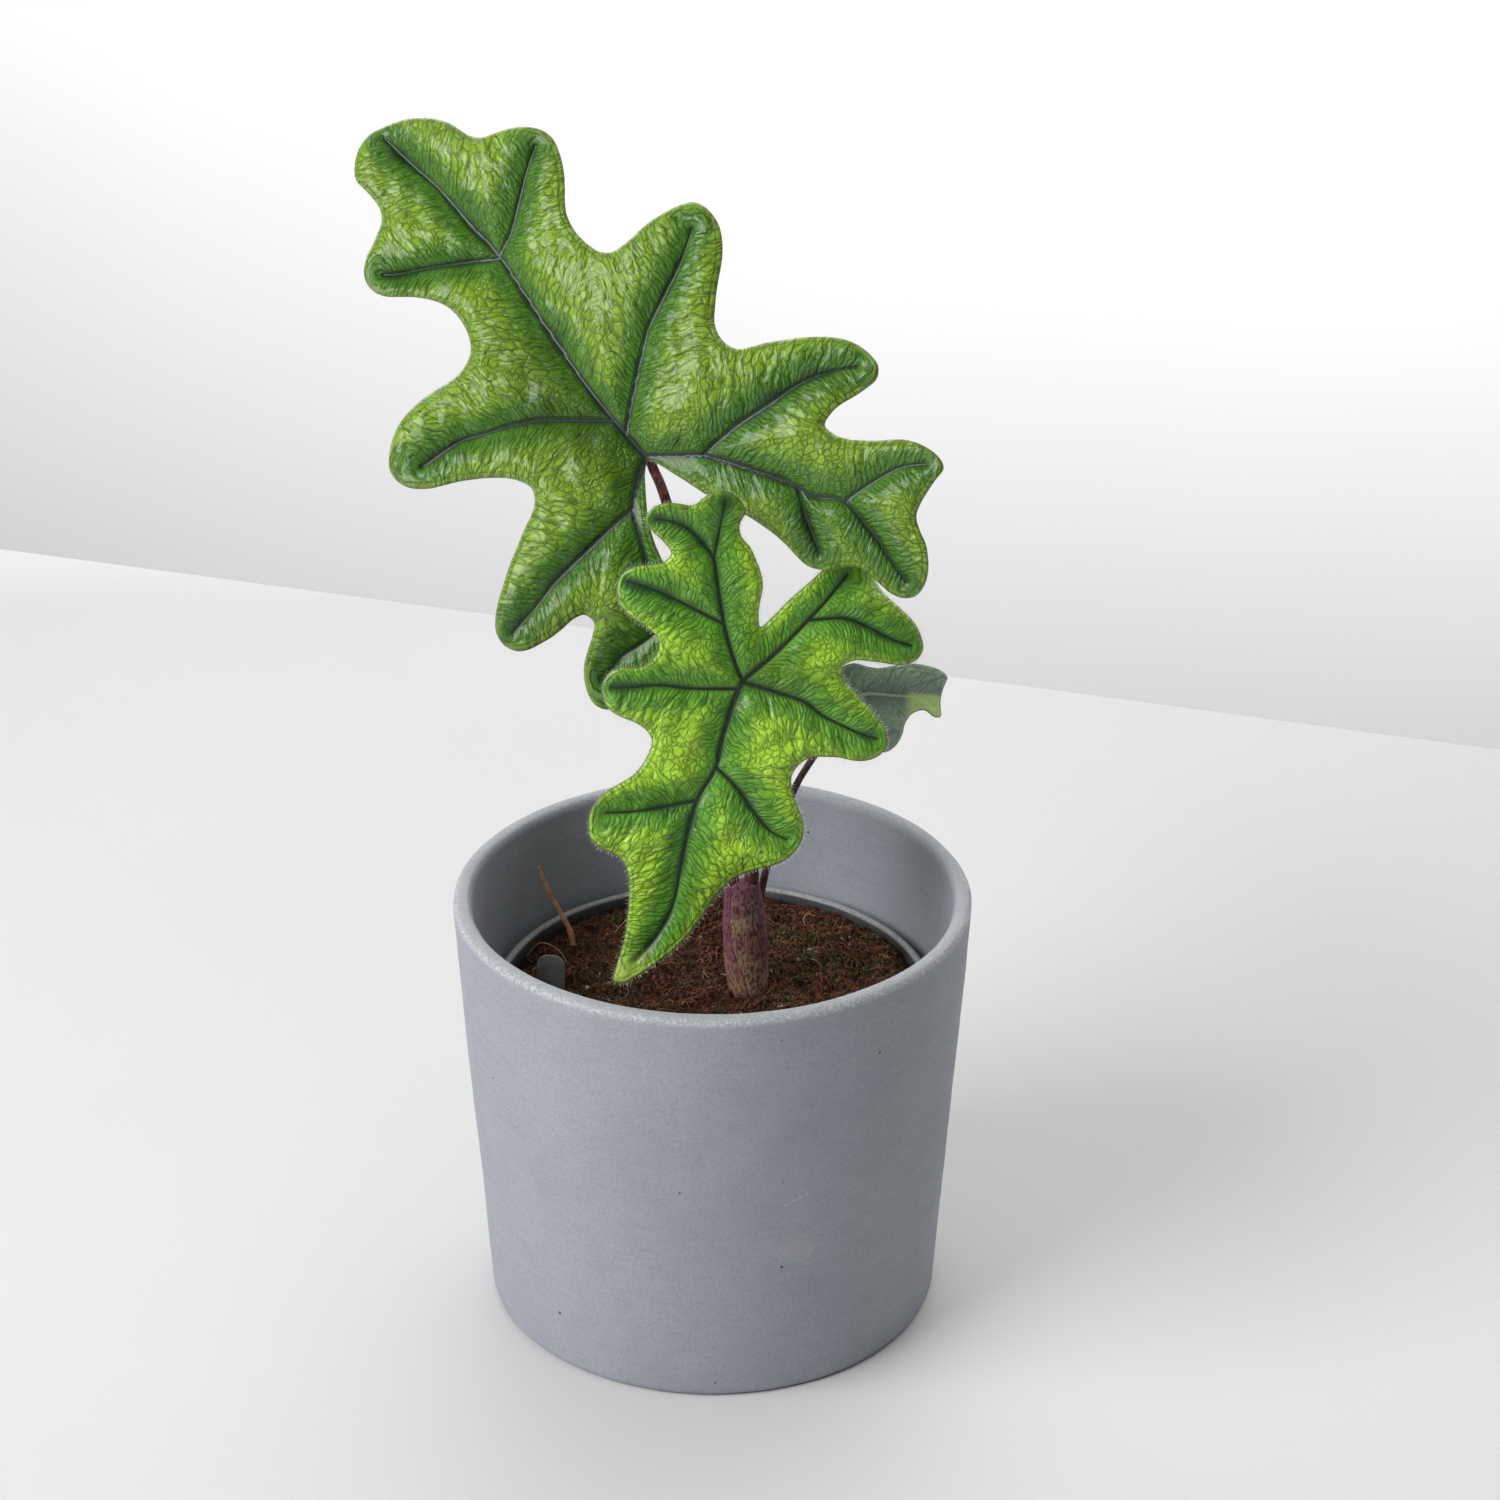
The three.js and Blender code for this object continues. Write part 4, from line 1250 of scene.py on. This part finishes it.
def build_leaves(looks):
    """The three blades with their hairs; the front one is painted lighter to make up for the light it faces
    away from, and the small one is pale, partly painted lighter against shade.
    """
    make_quilting_group()
    back = leaf_back_material()
    deep, mid, light, vein = (tuple(c) for c in (looks.deep, looks.mid, looks.light, looks.vein))
    # painted light: the front leaf takes the large leaf's colours made lighter, to make up for the light it
    # faces away from
    lit_front_colours = [tuple(gain * v for v in c) for gain, c in ((1.6, deep), (1.9, mid), (1.9, light))]
    gloss, relief = looks.roughness, looks.relief / MM
    lime = (0.38, 0.52, 0.07)
    large = leaf_material("Large leaf", deep, mid, light, gloss, 1.5, vein, (130, 140, 99, lime))
    front = leaf_material("Front leaf", *lit_front_colours, gloss + 0.06, 1.35, vein, (72, 84, 99, lime))
    # painted light: the small leaf's pale grey-greens are partly its own colour and partly made lighter to
    # make up for the shade it stands in
    small = leaf_material(
        "Small leaf", (0.13, 0.19, 0.14), (0.25, 0.35, 0.25), (0.34, 0.47, 0.31), gloss + 0.25, 1.2,
        (0.4, 0.47, 0.38), (15, 19, 6.0, (0.62, 0.85, 0.28)), 0.5,
    )
    hair = hair_material()
    # each leaf with its relief and seed, and its hairs' reach, spacing in edges and seed
    for leaf, material, depth, seed, hairs in (
        (LARGE_LEAF, large, relief, 5, (0.4, 4, 31)),
        (FRONT_LEAF, front, relief * 0.72, 8, (1.0, 1, 32)),
        (SMALL_LEAF, small, 1.3, 13, (0.4, 2, 33)),
    ):
        skin, rim = build_blade(leaf, depth, seed, [material, back])
        build_hairs(leaf, skin, rim, hair, *hairs)


# ------------------------------------------------------------------ small things and inner parts


def build_dry_root():
    """The knotty dry root that stands up at the back, and three hair-thin ones beside it."""
    route = [(-39, 25.5, 87), (-39.8, 27, 92.5), (-42, 29, 96.5), (-44.5, 31, 100.5), (-46.5, 32, 104),
             (-49, 34, 110)]
    path = spline(route, 0.5)
    t = np.linspace(0, 1, len(path))
    radii = 0.9 - 0.4 * t + 0.08 * np.sin(t * 37) + 0.06 * np.sin(t * 83)
    material = litter_material("Dry root", (0.17, 0.07, 0.035), (0.52, 0.28, 0.14), 0.75)
    root = Heap()
    root.add(*tube(path, radii, 14), 0.5)
    root.piece("dry_root_twig", [material], "dry_root", ["dry_root"])
    threads = Heap()
    for route in (
        [(-28, 32, 90), (-24, 31, 95), (-17, 30, 97.5), (-9, 29, 96.5)],
        [(-52, 20, 89), (-48, 19, 94), (-43, 17, 93), (-40, 14, 90)],
        [(-50, 12, 88.5), (-47, 13, 92), (-43, 13, 92.5), (-41, 10, 90)],
    ):
        path = spline(route, 0.7)
        threads.add(*tube(path, 0.22 * np.linspace(1, 0.5, len(path)), 6), 0.6)
    threads.piece("hair_roots", [material], "dry_root")


def build_label():
    """A small blank tag with rounded shoulders, slightly bowed."""
    width, height, thickness, shoulder = 8.0, 12.5, 0.6, 3.0
    outline = []
    for middle, first in ((width - shoulder, 0.0), (shoulder, math.pi / 2)):
        for t in np.linspace(first, first + math.pi / 2, 9):
            above = height - shoulder + shoulder * math.sin(t)
            outline.append((middle + shoulder * math.cos(t), above))
    outline += [(0, height * k / 8) for k in range(6, -1, -1)]
    outline += [(width * k / 4, 0) for k in range(1, 4)]
    outline += [(width, height * k / 8) for k in range(0, 7)]
    outline = np.array(outline)
    centre = outline.mean(axis=0)
    rings = []
    for shrink, depth in ((0.93, 0.0), (1.0, 0.08), (1.0, thickness - 0.08), (0.93, thickness)):
        flat = centre + (outline - centre) * shrink
        bow = 0.35 * ((flat[:, 0] - width / 2) / (width / 2)) ** 2
        rings.append(np.column_stack([flat, depth + bow]))
    body = np.vstack(rings)
    body[:, 1] -= 1.5
    place = Matrix.Translation((-48, -1, 90)) @ Matrix.Rotation(math.radians(-12), 4, "Z")
    place @= Matrix.Rotation(math.radians(80), 4, "X")
    vertices = [tuple(place @ Vector(p)) for p in body]
    faces = loft_faces(len(rings), len(outline))
    new_piece("blank_label", vertices, faces, [label_material()], ["plant_label"])


def finish_inner_parts():
    """Gives the corm and the roots, which keep the frame's shape, materials of their own."""
    corm = litter_material("Corm skin", (0.07, 0.035, 0.02), (0.22, 0.12, 0.07), 0.85)
    root = litter_material("Living root", (0.45, 0.34, 0.2), (0.7, 0.6, 0.42), 0.7)
    for node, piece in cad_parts.items():
        if node == "corm" or node.startswith("root_"):
            piece.data.materials.clear()
            piece.data.materials.append(corm if node == "corm" else root)


# ------------------------------------------------------------------ stage


REACH = 6.0  # how far table and wall run, in metres
WALL_PLACE = 1.7  # how far behind the plant the wall stands, in metres
TABLE_BACK = ((6.0, -1.44), (-6.0, 2.29))  # the two ends of the table's back edge, in metres
CAMERA_AIM = (0.0098, 0.0, 0.163)  # the point in the middle of the picture, in metres


def area_light(name, place, target, size, watts):
    """A rectangular lamp at a place, turned to a target; places and sizes are in metres."""
    lamp = bpy.data.lights.new(name, "AREA")
    lamp.shape = "RECTANGLE"
    lamp.size, lamp.size_y = size
    lamp.energy = watts
    holder = bpy.data.objects.new(name, lamp)
    bpy.context.scene.collection.objects.link(holder)
    holder.location = place
    look = Vector(target) - Vector(place)
    holder.rotation_euler = look.to_track_quat("-Z", "Y").to_euler()
    return holder


def stage_sheet(name, corners, roughness, cloud_size, low, high):
    """One flat face of the stage, in a faintly clouded colour."""
    material, m, shader = new_material("Pale " + name, Roughness=roughness)
    shade = m.noise(m.place(), cloud_size, 2.0)
    m.fill(shader, Base_Color=m.paint(low, (m.fade(shade, 0.3, 0.7), high)))
    mesh = bpy.data.meshes.new(name)
    mesh.from_pydata(corners, [], [(0, 1, 2, 3)])
    mesh.materials.append(material)
    sheet = bpy.data.objects.new(name, mesh)
    bpy.context.scene.collection.objects.link(sheet)


def build_stage(stage):
    """Table, wall, the light from a window on the left, and the camera; all in metres."""
    scene = bpy.context.scene
    table = [(-REACH, -REACH, 0), (REACH, -REACH, 0), *((x, y, 0) for x, y in TABLE_BACK)]
    stage_sheet("table", table, 0.6, 300.0, (0.665, 0.66, 0.66), (0.685, 0.68, 0.68))
    wall = [(x, WALL_PLACE, z) for x, z in ((-REACH, -2), (REACH, -2), (REACH, 5), (-REACH, 5))]
    stage_sheet("wall", wall, 0.9, 500.0, (0.87, 0.865, 0.87), (0.89, 0.89, 0.89))

    scene.view_settings.view_transform = "Standard"
    world = bpy.data.worlds.new("Studio")
    world.use_nodes = True
    background = world.node_tree.nodes["Background"].inputs
    background["Color"].default_value = (0.93, 0.94, 0.96, 1)
    background["Strength"].default_value = stage.fill
    scene.world = world
    area_light("window", (-1.15, -0.66, 0.98), (0, 0, 0.17), (1.1, 0.95), stage.key)
    ceiling = area_light("ceiling", (0.35, 0.0, 1.5), (0.2, 0, 0), (1.7, 1.7), stage.key * 0.42)
    ceiling.visible_glossy = False
    area_light("wall_wash", (0.6, 0.55, 1.0), (0.6, WALL_PLACE, 0.9), (2.2, 0.6), stage.key * 2.5)

    camera = bpy.data.objects.new("camera", bpy.data.cameras.new("camera"))
    scene.collection.objects.link(camera)
    elevation, distance = stage.elevation, stage.distance
    back = Vector((0, -math.cos(elevation), math.sin(elevation)))
    camera.location = Vector(CAMERA_AIM) + back * distance
    turn = (-back).to_track_quat("-Z", "Y").to_matrix().to_4x4()
    camera.rotation_euler = (turn @ Matrix.Rotation(stage.roll, 4, "Z")).to_euler()
    camera.data.sensor_width = 36.0
    camera.data.lens = stage.lens
    camera.data.clip_start, camera.data.clip_end = 0.01, 20.0
    scene.camera = camera


# ------------------------------------------------------------------ add-on


class AlocasiaLeafLooks(bpy.types.PropertyGroup):
    """How the leaves look"""

    relief: FloatProperty(
        name="Relief", description="How far the blade bulges between its veins", default=3.7 * MM,
        min=0.0, max=6 * MM, unit="LENGTH", precision=4,
    )
    roughness: FloatProperty(
        name="Roughness", description="Roughness of the upper side", default=0.26, subtype="FACTOR",
        min=0.0, max=1.0,
    )
    deep: FloatVectorProperty(
        name="Deep green", description="Colour beside the veins", subtype="COLOR",
        default=(0.014, 0.052, 0.008),
    )
    mid: FloatVectorProperty(
        name="Green", description="Colour of most of the blade", subtype="COLOR",
        default=(0.075, 0.21, 0.013),
    )
    light: FloatVectorProperty(
        name="Light green", description="Colour far from the veins", subtype="COLOR",
        default=(0.23, 0.40, 0.02),
    )
    vein: FloatVectorProperty(
        name="Vein", description="Colour of the main veins", subtype="COLOR",
        default=(0.009, 0.024, 0.016),
    )


class AlocasiaPotLooks(bpy.types.PropertyGroup):
    """The cover pot"""

    wall: FloatProperty(
        name="Wall", description="Thickness of the cover pot's wall", default=5 * MM, min=2 * MM,
        max=10 * MM, unit="LENGTH", precision=4,
    )


class AlocasiaSoilLooks(bpy.types.PropertyGroup):
    """What lies on the soil"""

    crumbs: IntProperty(name="Crumbs", description="How many crumbs lie on the soil", default=6500, min=0)
    fibres: IntProperty(name="Fibres", description="How many fibres lie on the soil", default=4560, min=0)
    moss: IntProperty(name="Moss", description="How many moss leaflets grow on it", default=5200, min=0)


class AlocasiaStage(bpy.types.PropertyGroup):
    """Camera and light"""

    elevation: FloatProperty(
        name="Elevation", description="Camera's angle above the table", default=math.radians(26.0),
        subtype="ANGLE",
    )
    roll: FloatProperty(
        name="Roll", description="Camera's turn about its own axis", default=math.radians(0.29),
        subtype="ANGLE",
    )
    distance: FloatProperty(
        name="Distance", description="From the camera to the plant", default=1.0, unit="LENGTH"
    )
    lens: FloatProperty(name="Lens", description="Focal length", default=90.84, unit="CAMERA")
    key: FloatProperty(name="Window", description="Power of the main light", default=24.5, unit="POWER")
    fill: FloatProperty(name="Fill", description="Brightness of the surroundings", default=0.125)


class AlocasiaSettings(bpy.types.PropertyGroup):
    """All settings of the potted alocasia"""

    leaves: PointerProperty(type=AlocasiaLeafLooks)
    pot: PointerProperty(type=AlocasiaPotLooks)
    soil: PointerProperty(type=AlocasiaSoilLooks)
    stage: PointerProperty(type=AlocasiaStage)


class ALOCASIA_OT_pots(bpy.types.Operator):
    """Build the cover pot and the nursery pot"""

    bl_idname = "alocasia.pots"
    bl_label = "Pots"

    def execute(self, context):
        make_speckle_group()
        build_cover_pot(context.scene.alocasia.pot)
        build_nursery_pot()
        return {"FINISHED"}


class ALOCASIA_OT_soil(bpy.types.Operator):
    """Build the soil with its crumbs, fibres and moss"""

    bl_idname = "alocasia.soil"
    bl_label = "Soil"

    def execute(self, context):
        build_soil(context.scene.alocasia.soil)
        return {"FINISHED"}


class ALOCASIA_OT_stem(bpy.types.Operator):
    """Build the stem's sheaths and the leaf stalks, and finish the corm and roots"""

    bl_idname = "alocasia.stem"
    bl_label = "Stem and stalks"

    def execute(self, context):
        make_mottle_group()
        build_stem()
        build_petioles()
        finish_inner_parts()
        return {"FINISHED"}


class ALOCASIA_OT_leaves(bpy.types.Operator):
    """Build the three quilted leaves with the hairs on their rims"""

    bl_idname = "alocasia.leaves"
    bl_label = "Leaves"

    def execute(self, context):
        build_leaves(context.scene.alocasia.leaves)
        return {"FINISHED"}


class ALOCASIA_OT_litter(bpy.types.Operator):
    """Build the dry root, the hair roots and the blank label"""

    bl_idname = "alocasia.litter"
    bl_label = "Dry root and label"

    def execute(self, context):
        build_dry_root()
        build_label()
        return {"FINISHED"}


class ALOCASIA_OT_stage(bpy.types.Operator):
    """Build the table, the lights and the camera"""

    bl_idname = "alocasia.stage"
    bl_label = "Stage"

    def execute(self, context):
        build_stage(context.scene.alocasia.stage)
        return {"FINISHED"}


OPERATORS = (
    ALOCASIA_OT_pots,
    ALOCASIA_OT_soil,
    ALOCASIA_OT_stem,
    ALOCASIA_OT_leaves,
    ALOCASIA_OT_litter,
    ALOCASIA_OT_stage,
)


class ALOCASIA_PT_panel(bpy.types.Panel):
    """Lists the settings and the pieces"""

    bl_idname = "ALOCASIA_PT_panel"
    bl_label = "Potted Alocasia"
    bl_space_type = "VIEW_3D"
    bl_region_type = "UI"
    bl_category = "Alocasia"

    def draw(self, context):
        settings = context.scene.alocasia
        for part in (settings.leaves, settings.pot, settings.soil, settings.stage):
            box = self.layout.box()
            for name in part.__annotations__:
                box.prop(part, name)
        for operator in OPERATORS:
            self.layout.operator(operator.bl_idname)


CLASSES = (
    AlocasiaLeafLooks,
    AlocasiaPotLooks,
    AlocasiaSoilLooks,
    AlocasiaStage,
    AlocasiaSettings,
    *OPERATORS,
    ALOCASIA_PT_panel,
)


def register():
    for cls in CLASSES:
        bpy.utils.register_class(cls)
    bpy.types.Scene.alocasia = PointerProperty(type=AlocasiaSettings)


def unregister():
    del bpy.types.Scene.alocasia
    for cls in reversed(CLASSES):
        bpy.utils.unregister_class(cls)


def main():
    register()
    for operator in OPERATORS:
        group, name = operator.bl_idname.split(".")
        getattr(getattr(bpy.ops, group), name)()
    bpy.context.view_layer.update()


if __name__ == "__main__":
    main()
